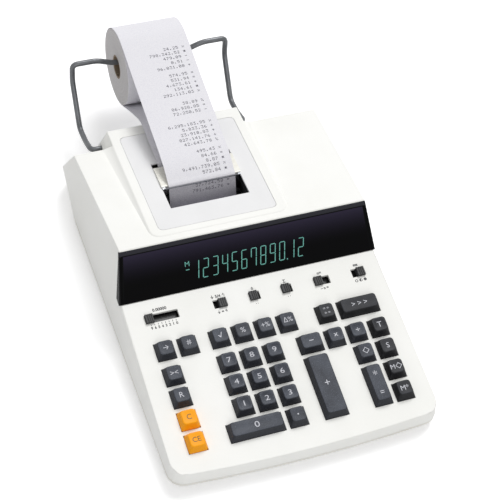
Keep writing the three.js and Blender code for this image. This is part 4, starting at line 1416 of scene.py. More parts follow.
class DisplayPanel(Assembly):
    """The glossy black panel across the machine, with its lit figures."""

    sizes = DisplaySizes()
    reading = "1234567890.12"
    segments = {
        "0": "abcdef", "1": "bc", "2": "abged", "3": "abgcd", "4": "fgbc", "5": "afgcd",
        "6": "afgedc", "7": "fabc", "8": "abcdefg", "9": "abcdfg",
    }

    def build(self) -> None:
        """Builds the panel, its two side cheeks and the figures."""
        self.build_panel()
        self.build_rim_line()
        self.build_cheeks()
        self.build_figures()

    def side_at(self, vert: bmesh.types.BMVert) -> float:
        """How far the side of the case stands from its middle beside a point of the panel."""
        return self.layout.side_at((self.layout.display @ Vector((0, vert.co.y, vert.co.z))).z)

    def to_sides(self, shape: Shape) -> Shape:
        """Moves the ends of a shape drawn from -1 to 1 out to the drafted sides of the case.

        Args:
            shape: The shape, changed in place.

        Returns:
            The same shape.
        """
        for vert in shape.verts:
            vert.co.x *= self.side_at(vert)
        return shape

    def build_panel(self) -> None:
        """The panel: a slab with a fine groove that sets off its top band."""
        s = self.sizes
        low, high = node_bounds("display_window", self.layout.display)
        foot, head = low.y, high.y
        outline = [
            (foot, -s.thickness), (head, -s.thickness), (head, -s.edge), (head - s.edge, 0),
            (s.groove_at + s.groove, 0), (s.groove_at + s.groove, -s.groove_depth),
            (s.groove_at, -s.groove_depth), (s.groove_at, 0),
            (foot + s.edge, 0), (foot, -s.edge),
        ]
        place(self.to_sides(prism(outline, -1, 1)), "display_panel", PANEL, "root",
              self.layout.display, replaces=["display_window"], crease=20)

    def build_rim_line(self) -> None:
        """The fine dark line that runs inside the panel's rim, along the top and down both sides."""
        s = self.sizes
        foot = node_bounds("display_window", self.layout.display)[0].y + s.line_foot
        top = s.groove_at + s.groove / 2
        low, high = top - s.rim_line / 2, top + s.rim_line / 2
        under, over = s.line_cover
        across = [(low, under), (high, under), (high, over), (low, over)]
        lines = [self.to_sides(prism(across, -s.line_reach, s.line_reach))]
        for side in (-1, 1):
            line = prism([(foot, under), (top, under), (top, over), (foot, over)], 0, 1)
            for vert in line.verts:
                vert.co.x = side * (self.side_at(vert) - s.side_rim - s.rim_line * vert.co.x)
            lines.append(line)
        place(merge(lines), "panel_rim_line", PANEL_EDGE, "root", self.layout.display, crease=20)

    def build_cheeks(self) -> None:
        """The panel's turned-in ends, which show as dark wedges on both sides of the case."""
        s = self.sizes
        low, high = node_bounds("display_window", self.layout.display)
        outline = [(low.y, -s.cheek_under), (low.y + s.cheek_rise, -s.cheek_foot),
                   (high.y, -s.cheek_head), (high.y, -s.cheek_top), (low.y, -s.cheek_top)]
        cheeks = []
        for side in (-1, 1):
            shape = prism(outline, s.cheek_inner * side, side)
            outer = [vert for vert in shape.verts if abs(vert.co.x) == 1]
            self.to_sides(shape)
            for vert in outer:
                share = (vert.co.y - low.y) / (high.y - low.y)
                vert.co.x += side * (s.cheek_proud + (s.cheek_proud_head - s.cheek_proud) * share)
            cheeks.append(shape)
        place(merge(cheeks), "display_cheeks", CHEEK, "root", self.layout.display)

    def stroke_between(self, start: Sequence[float], end: Sequence[float]) -> Shape:
        """One lit segment with pointed ends.

        Args:
            start: Where it begins, across and up.
            end: Where it ends.

        Returns:
            The segment.
        """
        half = self.sizes.stroke / 2
        along = Vector((end[0] - start[0], end[1] - start[1], 0)).normalized()
        across = Vector((-along.y, along.x, 0)) * half
        first, last = Vector((*start, 0)), Vector((*end, 0))
        tips = [first, first + along * half - across, last - along * half - across, last,
                last - along * half + across, first + along * half + across]
        ring = [Vector((p.x + p.y * tangent(self.sizes.lean), p.y, 0)) for p in tips]
        return loft([[p + Vector((0, 0, z)) for p in ring] for z in self.sizes.lit_cover])

    def figure(self, digit: str, x: float) -> list[Shape]:
        """The lit segments of one digit.

        Args:
            digit: The digit.
            x: Where its middle stands.

        Returns:
            The segments.
        """
        s = self.sizes
        w, h = s.figure_width / 2, s.figure_height
        ends = {
            "a": ((-w, h), (w, h)), "b": ((w, h), (w, h / 2)), "c": ((w, h / 2), (w, 0)),
            "d": ((-w, 0), (w, 0)), "e": ((-w, h / 2), (-w, 0)), "f": ((-w, h), (-w, h / 2)),
            "g": ((-w, h / 2), (w, h / 2)),
        }
        made = []
        for name in self.segments[digit]:
            (x0, y0), (x1, y1) = ends[name]
            length = math.hypot(x1 - x0, y1 - y0)
            ux, uy = (x1 - x0) / length * s.gap, (y1 - y0) / length * s.gap
            shape = self.stroke_between((x0 + ux, y0 + uy), (x1 - ux, y1 - uy))
            made.append(moved(shape, x, s.figure_low))
        return made

    def build_figures(self) -> None:
        """Lights the reading, with its decimal point, and the two small signs at its left."""
        s = self.sizes
        under, over = s.lit_cover
        shapes = []
        x = s.first_figure
        for letter in self.reading:
            if letter == ".":
                at = x - s.figure_pitch / 2 + s.point_shift
                shapes.append(box((at - s.point_half[0], s.figure_low - s.point_half[1], under),
                                  (at + s.point_half[0], s.figure_low + s.point_half[1], over)))
            else:
                shapes.extend(self.figure(letter, x))
                x += s.figure_pitch
        sign_x = s.first_figure - s.sign_left
        shapes.append(box((sign_x - s.sign_half, s.figure_low + s.sign_rise[0], under),
                          (sign_x + s.sign_half, s.figure_low + s.sign_rise[1], over)))
        letter = LETTERS.cut("M", s.memory_height)
        shapes.append(moved(letter, sign_x, s.figure_low + s.memory_rise, s.memory_lift))
        place(merge(shapes), "lit_figures", GLOW, "root", self.layout.display, crease=60)


@dataclass(frozen=True)
class Legend:
    """What a key says, its size, and how far its mark stands from the middle of the top."""

    text: str
    height: float = 4.6
    up: float = 0.0
    width_share: float = 1.0


@dataclass(frozen=True)
class KeySizes:
    """The section that all the keys share, in the plane of the deck."""

    lip: float = 0.7
    taper: float = 1.8
    shift: float = 0.7
    stem_inset: float = 5.1
    stem_corner: float = 0.8
    flange_top: float = -2.8
    flange_bottom: float = -3.6
    skirt_top: float = 0.8
    skirt_corner: float = 1.6
    skirt_shares: tuple[float, ...] = (0.33, 0.66)
    shoulder_out: float = 0.25
    fillet: float = 0.9
    fillet_angles: tuple[float, ...] = (0, 22.5, 45, 67.5, 90)
    top_corner: float = 2.6
    corner_loss: float = 0.3
    least_corner: float = 0.12
    dish: float = 1.0
    slight_dish: float = 0.3
    dish_margin: float = 0.2
    dish_power: float = 1.2
    dish_shares: tuple[float, ...] = (0.06, 0.14, 0.24, 0.36, 0.5, 0.64, 0.78, 0.9)
    mark_lift: float = 0.04
    clear: float = 5


class Keyboard(Assembly):
    """The keys, each rebuilt on its own body with a dished top and a printed mark."""

    sizes = KeySizes()
    dished = tuple(f"key_{n}" for n in "123456789") + ("key_multiply", "key_divide", "key_total")
    amber = ("key_clear", "key_clear_entry")
    black = ("key_total", "key_store", "key_memory_subtotal", "key_memory_total", "key_mode",
             "key_paper_feed")
    legends = {
        "key_shift_right": [Legend("→", 4.4)], "key_number_sign": [Legend("#", 4.4)],
        "key_square_root": [Legend("√", 4.6)], "key_percent": [Legend("%", 4.4)],
        "key_markup": [Legend("+%", 4.2)], "key_percent_change": [Legend("Δ%", 4.2)],
        "key_mode": [Legend("= =", 2.6, 2.0), Legend("= =", 2.6, -2.0)],
        "key_paper_feed": [Legend("> > >", 4.4)],
        "key_reverse": [Legend("><", 4.4)], "key_recall": [Legend("R", 4.6)],
        "key_clear": [Legend("C", 4.4)], "key_clear_entry": [Legend("CE", 4.2)],
        "key_minus": [Legend("−", 5.4)], "key_multiply": [Legend("×", 5.4)],
        "key_divide": [Legend("÷", 5.4)], "key_total": [Legend("T", 4.8)],
        "key_subtotal": [Legend("◇", 4.4)], "key_store": [Legend("S", 4.6)],
        "key_memory_subtotal": [Legend("M◇", 4.2)], "key_memory_total": [Legend("M*", 4.4)],
        "key_plus": [Legend("+", 6.4, 0.5)],
        "key_equals": [Legend("*", 6.4, 8.2), Legend("=", 5.0, -8.6)],
        "key_point": [Legend("·", 8.0)],
        **{f"key_{n}": [Legend(n, 4.5, 0.0, 1.3)] for n in "123456789"},
        "key_0": [Legend("0", 5.0, 0.0, 1.3)],
    }

    def build(self) -> None:
        """Builds every key of the construction."""
        for node in sorted(self.legends):
            self.build_key(node)

    def build_key(self, node: str) -> None:
        """Builds one key round its node's own bounds.

        Args:
            node: The key's node.
        """
        s = self.sizes
        low, high = node_bounds(node, self.layout.deck)
        centre = (low + high) / 2
        half_x = (high.x - low.x) / 2 - s.lip
        half_y = (high.y - low.y) / 2 - s.lip
        plane = self.layout.deck @ Matrix.Translation((centre.x, centre.y, 0))
        finish, ink = (AMBER, AMBER_MARK) if node in self.amber else (KEY, KEY_MARK)
        if node in self.black:
            finish = BLACK_KEY
        surface = self.top_surface(node, half_x, half_y, high.z)
        cap = self.cap(half_x, half_y, low.z, high.z, surface)
        tree = BVHTree.FromBMesh(cap)

        def laid_on(x: float, y: float) -> float:
            """The height of a mark that lies on the cap."""
            above = Vector((x, y, high.z + s.clear))
            return tree.ray_cast(above, Vector((0, 0, -1)))[0].z + s.mark_lift
        marks = []
        for legend in self.legends[node]:
            mark = LETTERS.cut(legend.text, legend.height, legend.width_share)
            marks.append(LETTERS.settle(moved(mark, 0, legend.up + s.shift), laid_on))
        printed = merge(marks)
        for face in printed.faces:
            face.material_index = 1
        place(merge([cap, printed]), f"{node}_cap", finish, node, plane, replaces=[node],
              crease=42, extra=[ink])

    def top_surface(self, node: str, half_x: float, half_y: float, rim: float) -> Surface:
        """How the top of a key runs.

        Args:
            node: The key's node.
            half_x: Half the width of the key's skirt.
            half_y: Half its depth.
            rim: The height of the top's rim.

        Returns:
            The top's height at a place on it.
        """
        s = self.sizes
        depth = s.dish if node in self.dished else s.slight_dish
        reach_x, reach_y = half_x - s.taper - s.dish_margin, half_y - s.taper - s.dish_margin

        def height(x: float, y: float) -> float:
            """The top's height, lower towards the middle of the dish."""
            out = (x / reach_x) ** 2 + ((y - s.shift) / reach_y) ** 2
            return rim - depth * max(0.0, 1 - out) ** s.dish_power
        return height

    def cap(self, half_x: float, half_y: float, bottom: float, rim: float,
            surface: Surface) -> Shape:
        """Stem, flange, skirt, rounded shoulder and dished top as one closed shape.

        Args:
            half_x: Half the width of the skirt.
            half_y: Half its depth.
            bottom: The height of the stem's foot.
            rim: The height of the top's rim.
            surface: The top's height at a place on it.

        Returns:
            The cap.
        """
        s = self.sizes
        width, depth = 2 * half_x, 2 * half_y

        def ring(inset: float, corner: float, z: float, shift: float = 0.0) -> Line:
            """A rounded ring that lies inside the skirt's outline by its inset."""
            return rounded_ring(width - 2 * inset, depth - 2 * inset, corner, z, (0, shift))
        rings = [
            ring(s.stem_inset, s.stem_corner, bottom),
            ring(s.stem_inset, s.stem_corner, s.flange_bottom),
            ring(-s.lip, s.skirt_corner, s.flange_bottom), ring(-s.lip, s.skirt_corner, s.flange_top),
            ring(0, s.skirt_corner, s.flange_top), ring(0, s.skirt_corner, s.skirt_top),
        ]
        shoulder, inner = rim - s.fillet, s.taper - s.shoulder_out
        for share in s.skirt_shares:
            corner = s.skirt_corner + (s.top_corner - s.skirt_corner) * share
            height = s.skirt_top + (shoulder - s.skirt_top) * share
            rings.append(ring(inner * share, corner, height, s.shift * share))
        for angle in s.fillet_angles:
            inset = inner + s.fillet * (1 - math.cos(math.radians(angle)))
            height = shoulder + s.fillet * math.sin(math.radians(angle))
            rings.append(ring(inset, s.top_corner - s.corner_loss * angle / 90, height, s.shift))
        edge = inner + s.fillet
        smallest = min(half_x, half_y)
        for share in s.dish_shares:
            inset = edge + (smallest - edge) * share
            corner = max(s.least_corner, (s.top_corner - s.corner_loss) * (1 - share))
            laid = ring(inset, corner, 0.0, s.shift)
            rings.append([Vector((p.x, p.y, surface(p.x, p.y))) for p in laid])
        return loft(rings)


@dataclass(frozen=True)
class KnobSizes:
    """Grip of a slide switch, on its foot under the deck."""

    edge: float = 0.35
    ribs: int = 3
    rib: float = 0.55
    rib_depth: float = 0.5
    rib_margin: float = 0.9
    end_margin: float = 1.3
    foot_top: float = -2.8
    overlap: float = 0.4


class SlideSwitches(Assembly):
    """The six slide knobs, each with ribs across its grip."""

    sizes = KnobSizes()
    knobs = ("decimal_knob", "rounding_knob", "add_mode_knob", "rate_knob", "item_count_knob",
             "print_knob")

    def build(self) -> None:
        """Builds every knob on its own body."""
        for node in self.knobs:
            self.build_knob(node)

    def build_knob(self, node: str) -> None:
        """A foot plate, a neck through the slot and a ribbed grip.

        Args:
            node: The knob's node.
        """
        s = self.sizes
        low, high = node_bounds(node, self.layout.deck)
        centre = (low + high) / 2
        half = (high.x - low.x) / 2
        foot = box((-half, low.y - centre.y, low.z), (half, high.y - centre.y, s.foot_top))
        soften(foot, s.edge, segments=1, angle=60)
        reach = (high.y - low.y) / 2 - s.end_margin
        neck, top, dip = s.foot_top - s.overlap, high.z, high.z - s.rib_depth
        outline = [(-half, neck), (-half, top - s.edge), (-half + s.edge, top)]
        pitch = 2 * (half - s.rib_margin) / s.ribs
        for i in range(s.ribs):
            middle = -half + s.rib_margin + pitch * (i + 0.5)
            outline += [(middle - s.rib, top), (middle - s.rib / 2, dip),
                        (middle + s.rib / 2, dip), (middle + s.rib, top)]
        outline += [(half - s.edge, top), (half, top - s.edge), (half, neck)]
        grip = loft([[Vector((x, y, z)) for x, z in outline] for y in (-reach, reach)])
        plane = self.layout.deck @ Matrix.Translation((centre.x, centre.y, 0))
        place(merge([foot, grip]), f"{node}_grip", KNOB, node, plane, replaces=[node], crease=40)


@dataclass
class PrinterCover(Assembly):
    """The lid of the printer, with its cream tear plate and the teeth along it."""

    edge: float = 0.35
    top_margin: float = 0.05
    nose_out: float = 0.55
    nose_foot: float = 0.5
    nose_head: float = 0.35
    plate_foot: float = 1.0
    plate_head: float = 1.6
    plate_back: float = 0.8
    plate_slope: float = 1.2
    plate_edge: float = 0.25
    tooth_pitch: float = 1.5
    tooth_depth: float = 0.45
    blade_inset: float = 1
    blade_height: float = 1.3
    blade_gap: float = 2.0
    blade_thickness: float = 0.3
    lug_inset: float = 0.5
    lug_width: float = 2.2
    lug_reach: float = 1.2
    lug_drop: float = 0.9

    def build(self) -> None:
        """Builds the lid, the plate and the teeth."""
        self.build_lid()
        self.build_plate()
        self.build_teeth()

    def build_lid(self) -> None:
        """The lid with its upper edges and openings rounded."""
        shape = join_flat(node_shape("printer_cover"))
        inverse = self.layout.housing.inverted()

        def on_top(edge: Edge) -> bool:
            """Whether an edge lies in the top of the lid."""
            return all(abs((inverse @ v.co).z) < self.top_margin for v in edge.verts)
        soften(shape, self.edge, angle=40, chosen=on_top)
        even(place(shape, "cover_lid", COVER, "printer_cover", replaces=["printer_cover"], crease=30))

    def build_plate(self) -> None:
        """The cream plate that the paper is torn against."""
        low, high = node_bounds("tear_bar", self.layout.housing)
        nose = low.y + self.nose_out
        outline = [(nose, low.z + self.nose_foot), (low.y + self.plate_foot, low.z), (high.y, low.z),
                   (high.y, low.z + self.plate_back), (high.y - self.plate_slope, high.z),
                   (low.y + self.plate_head, high.z), (nose, high.z - self.nose_head)]
        shape = soften(prism(outline, low.x, high.x), self.plate_edge, angle=50)
        even(place(shape, "tear_plate", TEAR, "printer_cover", self.layout.housing,
                   replaces=["tear_bar"], crease=40))

    def build_teeth(self) -> None:
        """A steel blade before the paper, its teeth up, with a lug to the plate at each end."""
        low, high = node_bounds("tear_bar", self.layout.housing)
        run = high.x - low.x - 2 * self.blade_inset
        count = int(run / self.tooth_pitch) * 2
        foot, back = high.z - self.blade_height, low.y - self.blade_gap
        front = back - self.blade_thickness
        rings = []
        for i in range(count + 1):
            x = low.x + self.blade_inset + run / count * i
            top = high.z - (0.0 if i % 2 else self.tooth_depth)
            rings.append([Vector((x, front, foot)), Vector((x, back, foot)),
                          Vector((x, back, top)), Vector((x, front, top))])
        lugs = [box((x, front, foot), (x + self.lug_width, low.y + self.lug_reach,
                                       high.z - self.lug_drop))
                for x in (low.x + self.lug_inset, high.x - self.lug_inset - self.lug_width)]
        place(merge([loft(rings), *lugs]), "tear_teeth", STEEL, "printer_cover",
              self.layout.housing, crease=20)


@dataclass
class PrinterWorks(Assembly):
    """Rollers and frame of the printer, seen through the window in the cover."""

    platen_radius: float = 8.0
    ink_radius: float = 6.0
    drum_radius: float = 8.6
    half_length: float = 30.0
    roller_edge: float = 0.4
    spindle_radius: float = 2.0
    spindle_edge: float = 0.3
    centre_radius: float = 0.02
    type_columns: int = 15
    type_rows: int = 16
    type_left: float = 26.6
    type_pitch: float = 3.8
    type_offset: float = 6
    type_wide: Pair = (0.35, 0.75)
    type_tall: Pair = (0.5, 0.8)
    type_cover: Pair = (8.4, 8.95)
    type_seed: int = 11

    def build(self) -> None:
        """Builds the three rollers; the frame and the motor keep their construction."""
        self.build_drum()
        self.build_roller("platen_roller", "platen_rubber_roller", PLATEN, "platen",
                          self.platen_radius)
        self.build_roller("ink_roller", "ink_felt_roller", FELT, "ink", self.ink_radius)
        dress_node("printer_frame", DARK_STEEL)
        dress_node("feed_motor", CAN)

    def spindle(self, low: Vector, high: Vector, radius: float) -> list[Pair]:
        """The closed profile of a roller with its spindle ends.

        Args:
            low: The lowest corner of the roller's bounds.
            high: The highest corner.
            radius: The roller's radius.

        Returns:
            The profile's points, as (radius, place along X).
        """
        middle, side = (low.x + high.x) / 2, (high.x - low.x) / 2
        out, half = self.spindle_radius, self.half_length
        outer = [(self.centre_radius, -side), (out - self.spindle_edge, -side),
                 (out, -side + self.spindle_edge), (out, -half),
                 (radius - self.roller_edge, -half), (radius, -half + self.roller_edge)]
        return [(r, middle + x) for r, x in outer] + [(r, middle - x) for r, x in reversed(outer)]

    def build_roller(self, node: str, name: str, finish: Finish, body: str, radius: float) -> None:
        """A plain roller with chamfered ends and turned spindles.

        Args:
            node: The roller's node.
            name: The piece's name.
            finish: What it is dressed in.
            body: The body it rides on.
            radius: Its radius.
        """
        low, high = node_bounds(node)
        plane = Matrix.Translation((0, (low.y + high.y) / 2, (low.z + high.z) / 2))
        shape = lathe(self.spindle(low, high, radius), sides=48)
        place(shape, name, finish, body, plane, replaces=[node], crease=40)

    def build_drum(self) -> None:
        """The type drum, its face set with small raised characters in columns."""
        low, high = node_bounds("type_drum")
        plane = Matrix.Translation((0, (low.y + high.y) / 2, (low.z + high.z) / 2))
        left = (low.x + high.x) / 2 - self.type_left
        foot, face = self.type_cover
        rng = random.Random(self.type_seed)
        types = [lathe(self.spindle(low, high, self.drum_radius), sides=60)]
        for column in range(self.type_columns):
            x = left + self.type_pitch * column
            for row in range(self.type_rows):
                angle = 360 / self.type_rows * row + (column % 2) * self.type_offset
                wide = rng.uniform(*self.type_wide)
                tall = rng.uniform(*self.type_tall)
                stamp = box((x - wide, -tall, foot), (x + wide, tall, face))
                stamp.transform(turn(angle))
                types.append(stamp)
        place(merge(types), "type_drum_body", DRUM, "drum", plane, replaces=["type_drum"], crease=30)


class DotFont:
    """Figures and signs of a five by seven dot printer, each row of dots as a number."""

    columns = 5
    glyphs = {
        "0": (14, 17, 19, 21, 25, 17, 14), "1": (4, 12, 4, 4, 4, 4, 14),
        "2": (14, 17, 1, 2, 4, 8, 31), "3": (31, 2, 4, 2, 1, 17, 14),
        "4": (2, 6, 10, 18, 31, 2, 2), "5": (31, 16, 30, 1, 1, 17, 14),
        "6": (6, 8, 16, 30, 17, 17, 14), "7": (31, 1, 2, 4, 8, 8, 8),
        "8": (14, 17, 17, 14, 17, 17, 14), "9": (14, 17, 17, 15, 1, 2, 12),
        ".": (0, 0, 0, 0, 0, 12, 12), "+": (0, 4, 4, 31, 4, 4, 0), "-": (0, 0, 0, 31, 0, 0, 0),
        "x": (0, 17, 10, 4, 10, 17, 0), "=": (0, 0, 31, 0, 31, 0, 0), "*": (0, 21, 14, 31, 14, 21, 0),
        "%": (24, 25, 2, 4, 8, 19, 3), ",": (0, 0, 0, 0, 12, 4, 8), " ": (0, 0, 0, 0, 0, 0, 0),
    }

    def runs(self, letter: str) -> list[tuple[int, int, int]]:
        """The printed runs of a character.

        Args:
            letter: The character.

        Returns:
            Each run as (row from the foot, first column, last column).
        """
        found = []
        for row, bits in enumerate(reversed(self.glyphs[letter])):
            start = None
            for column in range(self.columns + 1):
                lit = column < self.columns and bits >> (self.columns - 1 - column) & 1
                if lit and start is None:
                    start = column
                if not lit and start is not None:
                    found.append((row, start, column - 1))
                    start = None
        return found


class PaperLine:
    """The line that a strip of paper follows, seen from the side."""

    def __init__(self, node: str, from_front: bool, thickness: float = 0.4) -> None:
        """Reads the line out of a strip's own side face.

        Args:
            node: The strip's node.
            from_front: Whether the line starts at the strip's front end.
            thickness: How thick the strip was constructed.
        """
        self.points = self.smooth(self.read(node, thickness))
        if (self.points[0].y < self.points[-1].y) != from_front:
            self.points.reverse()
        self.lengths = [0.0]
        for a, b in zip(self.points, self.points[1:]):
            self.lengths.append(self.lengths[-1] + (b - a).length)

    @staticmethod
    def read(node: str, thickness: float) -> Line:
        """The middle line between the two faces of a strip, from its outline at one side.

        Args:
            node: The strip's node.
            thickness: How far the faces lie apart.

        Returns:
            The line's points.
        """
        shape = node_shape(node)
        low = min(v.co.x for v in shape.verts)
        caps = {f for f in shape.faces if all(abs(v.co.x - low) < 0.01 for v in f.verts)}
        rim = {}
        for face in caps:
            for edge in face.edges:
                if any(f not in caps for f in edge.link_faces):
                    for vert in edge.verts:
                        rim.setdefault(vert, set()).add(edge.other_vert(vert))
        start = min(rim, key=lambda v: (v.co.y, v.co.z))
        loop, last, here = [start], None, start
        while True:
            onward = sorted((v for v in rim[here] if v is not last), key=lambda v: v.index)
            last, here = here, onward[0]
            if here is start:
                break
            loop.append(here)
        places = [v.co.copy() for v in loop]
        shape.free()
        count = len(places)
        half = count // 2

        def misfit(first: int) -> float:
            """How badly the outline pairs up across the strip when it starts at a point."""
            return sum(abs((places[(first + k) % count] - places[(first - 1 - k) % count]).length
                           - thickness) for k in range(half))
        first = min(range(count), key=misfit)
        return [(places[(first + k) % count] + places[(first - 1 - k) % count]) / 2
                for k in range(half)]

    @staticmethod
    def smooth(points: Line, step: float = 1.4) -> Line:
        """A centripetal curve through the points, cut into short even steps.

        Args:
            points: The points.
            step: How long the steps are.

        Returns:
            The curve's points.
        """
        ends = [points[0] * 2 - points[1], *points, points[-1] * 2 - points[-2]]
        fine = [points[0]]
        for p0, p1, p2, p3 in zip(ends, ends[1:], ends[2:], ends[3:]):
            knots = [0.0]
            for a, b in ((p0, p1), (p1, p2), (p2, p3)):
                knots.append(knots[-1] + max((b - a).length, 1e-4) ** 0.5)
            count = max(1, round((p2 - p1).length / step))
            t0, t1, t2, t3 = knots
            for i in range(1, count + 1):
                t = t1 + (t2 - t1) * i / count
                a1 = p0.lerp(p1, (t - t0) / (t1 - t0))
                a2 = p1.lerp(p2, (t - t1) / (t2 - t1))
                a3 = p2.lerp(p3, (t - t2) / (t3 - t2))
                b1 = a1.lerp(a2, (t - t0) / (t2 - t0))
                b2 = a2.lerp(a3, (t - t1) / (t3 - t1))
                fine.append(b1.lerp(b2, (t - t1) / (t2 - t1)))
        return fine

    def at(self, along: float) -> tuple[Vector, Vector]:
        """Finds a place on the line.

        Args:
            along: Its length along the line.

        Returns:
            The place, and the direction out of the paper there.
        """
        i = max(k for k, length in enumerate(self.lengths[:-1]) if length <= max(along, 0.0))
        a, b = self.points[i], self.points[i + 1]
        share = (along - self.lengths[i]) / (self.lengths[i + 1] - self.lengths[i])
        before = self.points[max(i - 1, 0)]
        after = self.points[min(i + 2, len(self.points) - 1)]
        run = (b - before).normalized().lerp((after - a).normalized(), share).normalized()
        return a.lerp(b, share), Vector((0, -run.z, run.y))

    def where(self, test: Callable[[Vector], bool]) -> float:
        """The first length along the line at which a test of the place holds."""
        return next(length for point, length in zip(self.points, self.lengths) if test(point))


@dataclass
class PaperPath(Assembly):
    """The strip that feeds the printer, and the printed tape that runs back over the roll.

    The places along Y start at the front rim of the case; the bends are lengths of paper.
    """

    thickness: float = 0.12
    width: float = 57.0
    least_step: float = 0.05
    dot_x: float = 0.39
    dot_y: float = 0.38
    dot_share: float = 0.95
    ink_cover: Pair = (0.03, -0.02)
    char_pitch: float = 2.7
    line_pitch: float = 4.6
    line_gaps: tuple[float, ...] = (0.7, 1.1, 1.5)
    right_margin: float = 5.5
    print_lead: float = 9
    print_clear: Pair = (0.3, 2.8)
    seed: int = 57
    tear_height: float = 0.9
    cover_end: float = 270
    roll_top: float = 366
    loose_end: float = 405.5
    tail_edge: float = 307
    cover_back: float = 297
    mouth: float = 262
    bend_to_tear: float = 14
    bend_past_tear: float = 12
    bend_off_roll: float = 10.0
    bend_to_platen: float = 8
    font = DotFont()

    @property
    def centre(self) -> float:
        """The middle of the paper, which runs in the middle of the housing."""
        return self.layout.housing_centre

    def build(self) -> None:
        """Builds both strips, cut where they pass from one body to the next."""
        self.build_tape()
        self.build_feed()

    def strip(self, line: PaperLine, start: float, end: float) -> Shape:
        """A thin closed sheet along part of a line.

        Args:
            line: The line.
            start: The length along it at which the sheet starts.
            end: The length at which it ends.

        Returns:
            The sheet.
        """
        least = self.least_step
        inner = [length for length in line.lengths if start + least < length < end - least]
        rings = []
        for along in (start, *inner, end):
            spot, out = line.at(along)
            thick = out * self.thickness / 2
            rings.append([Vector((self.centre + x, *(spot + side * thick).yz))
                          for x, side in ((-self.width / 2, -1), (self.width / 2, -1),
                                          (self.width / 2, 1), (-self.width / 2, 1))])
        return loft(rings)

    def printing(self, line: PaperLine, lines: Sequence[tuple[float, str]]) -> list[Shape]:
        """Raised runs of print on the paper.

        Args:
            line: The line that the paper follows.
            lines: The lines of text, each with its length along the paper.

        Returns:
            The runs.
        """
        shapes = []
        columns = self.font.columns
        for along, text in lines:
            for i, letter in enumerate(reversed(text)):
                right = self.centre + self.width / 2 - self.right_margin - i * self.char_pitch
                for row, first, last in self.font.runs(letter):
                    x0 = right - (columns - first) * self.dot_x
                    x1 = right - (columns - 1 - last) * self.dot_x
                    ring = []
                    for rows in (row, row + self.dot_share):
                        spot, out = line.at(along + rows * self.dot_y)
                        for lift in self.ink_cover:
                            ring.append(spot + out * (self.thickness / 2 + lift))
                    order = (ring[0], ring[2], ring[3], ring[1])
                    shapes.append(loft([[Vector((x, *p.yz)) for p in order] for x in (x0, x1)]))
        return shapes

    def sums(self, start: float, end: float) -> list[tuple[float, str]]:
        """Plain made-up sums in groups, the first one with the longest figures.

        Args:
            start: The length along the tape at which they start.
            end: The length at which they end.

        Returns:
            The lines of text, each with its length along the tape.
        """
        rng = random.Random(self.seed)
        lines = []
        along = start
        while along < end:
            for _ in range(rng.randint(2, 5)):
                least = 7 if along < start + 3 * self.line_pitch else 3
                value = rng.randint(1, 10 ** rng.randint(least, 9)) / 100
                sign = rng.choice("++-x=*%")
                lines.append((along, f"{value:,.2f} {sign}"))
                along += self.line_pitch
            along += self.line_pitch * rng.choice(self.line_gaps)
        return [(a, t) for a, t in lines if a < end]

    def piece(self, shape: Shape, printed: Sequence[Shape], name: str, node: str,
              finish: Finish = PAPER) -> bpy.types.Object:
        """Joins a strip and its print into one piece that stands for a node.

        Args:
            shape: The strip.
            printed: Its print, which may be nothing.
            name: The piece's name.
            node: The node it stands for.
            finish: What the paper is dressed in.

        Returns:
            The piece.
        """
        parts = [shape]
        if printed:
            marks = merge(printed)
            for face in marks.faces:
                face.material_index = 1
            parts.append(marks)
        return place(merge(parts), name, finish, "root", replaces=[node], crease=50, extra=[PRINT],
                     rides=False)

    def spot(self, line: PaperLine, along: float) -> Vector:
        """A place on a line in Blender's metres."""
        return Vector((self.centre, *line.at(along)[0].yz)) * MM

    def build_tape(self) -> None:
        """The printed tape: from the platen to the tear plate, over the cover, and over the roll."""
        line = PaperLine("printed_tape", from_front=True)
        shift, inverse = self.layout.shift, self.layout.housing.inverted()
        tear = line.where(lambda p: (inverse @ Vector((self.centre, p.y, p.z))).z > self.tear_height)
        rest = line.where(lambda p: p.y > self.cover_end + shift)
        total = min(line.lengths[-1], line.where(lambda p: p.y > self.loose_end + shift))
        over = line.where(lambda p: p.y > self.roll_top + shift)
        text = self.sums(tear - self.print_lead, over - self.print_lead)
        spans = (("tape_from_platen", 0.0, tear, "root", "printer_cover", tear - self.bend_to_tear,
                  tear),
                 ("tape_over_cover", tear, rest, "printer_cover", "root",
                  tear + self.bend_past_tear, rest),
                 ("tape_over_roll", rest, total, "root", "arm_left", rest, over))
        before, after = self.print_clear
        for name, start, end, first, second, begin, finish in spans:
            lines = [(a, t) for a, t in text if start + before < a < end - after]
            # The span from the platen takes the paper with painted shade.
            made = self.piece(self.strip(line, start, end), self.printing(line, lines), name,
                              "printed_tape", SHADED_PAPER if start == 0 else PAPER)
            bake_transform(made)

    def build_feed(self) -> None:
        """The feed strip: off the roll, over the tail, and through the slot to the platen."""
        line = PaperLine("feed_strip", from_front=False)
        shift = self.layout.shift
        tail = line.where(lambda p: p.y < self.tail_edge + shift)
        near = line.where(lambda p: p.y < self.cover_back + shift)
        mouth = line.where(lambda p: p.y < self.mouth + shift)
        total = line.lengths[-1]
        spans = (("feed_off_roll", 0.0, tail, "arm_left", "root", self.bend_off_roll, tail),
                 ("feed_over_tail", tail, near, "root", "printer_cover", tail, near),
                 ("feed_to_platen", near, total, "printer_cover", "root", mouth,
                  total - self.bend_to_platen))
        for name, start, end, first, second, begin, finish in spans:
            made = self.piece(self.strip(line, start, end), [], name, "feed_strip")
            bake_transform(made)


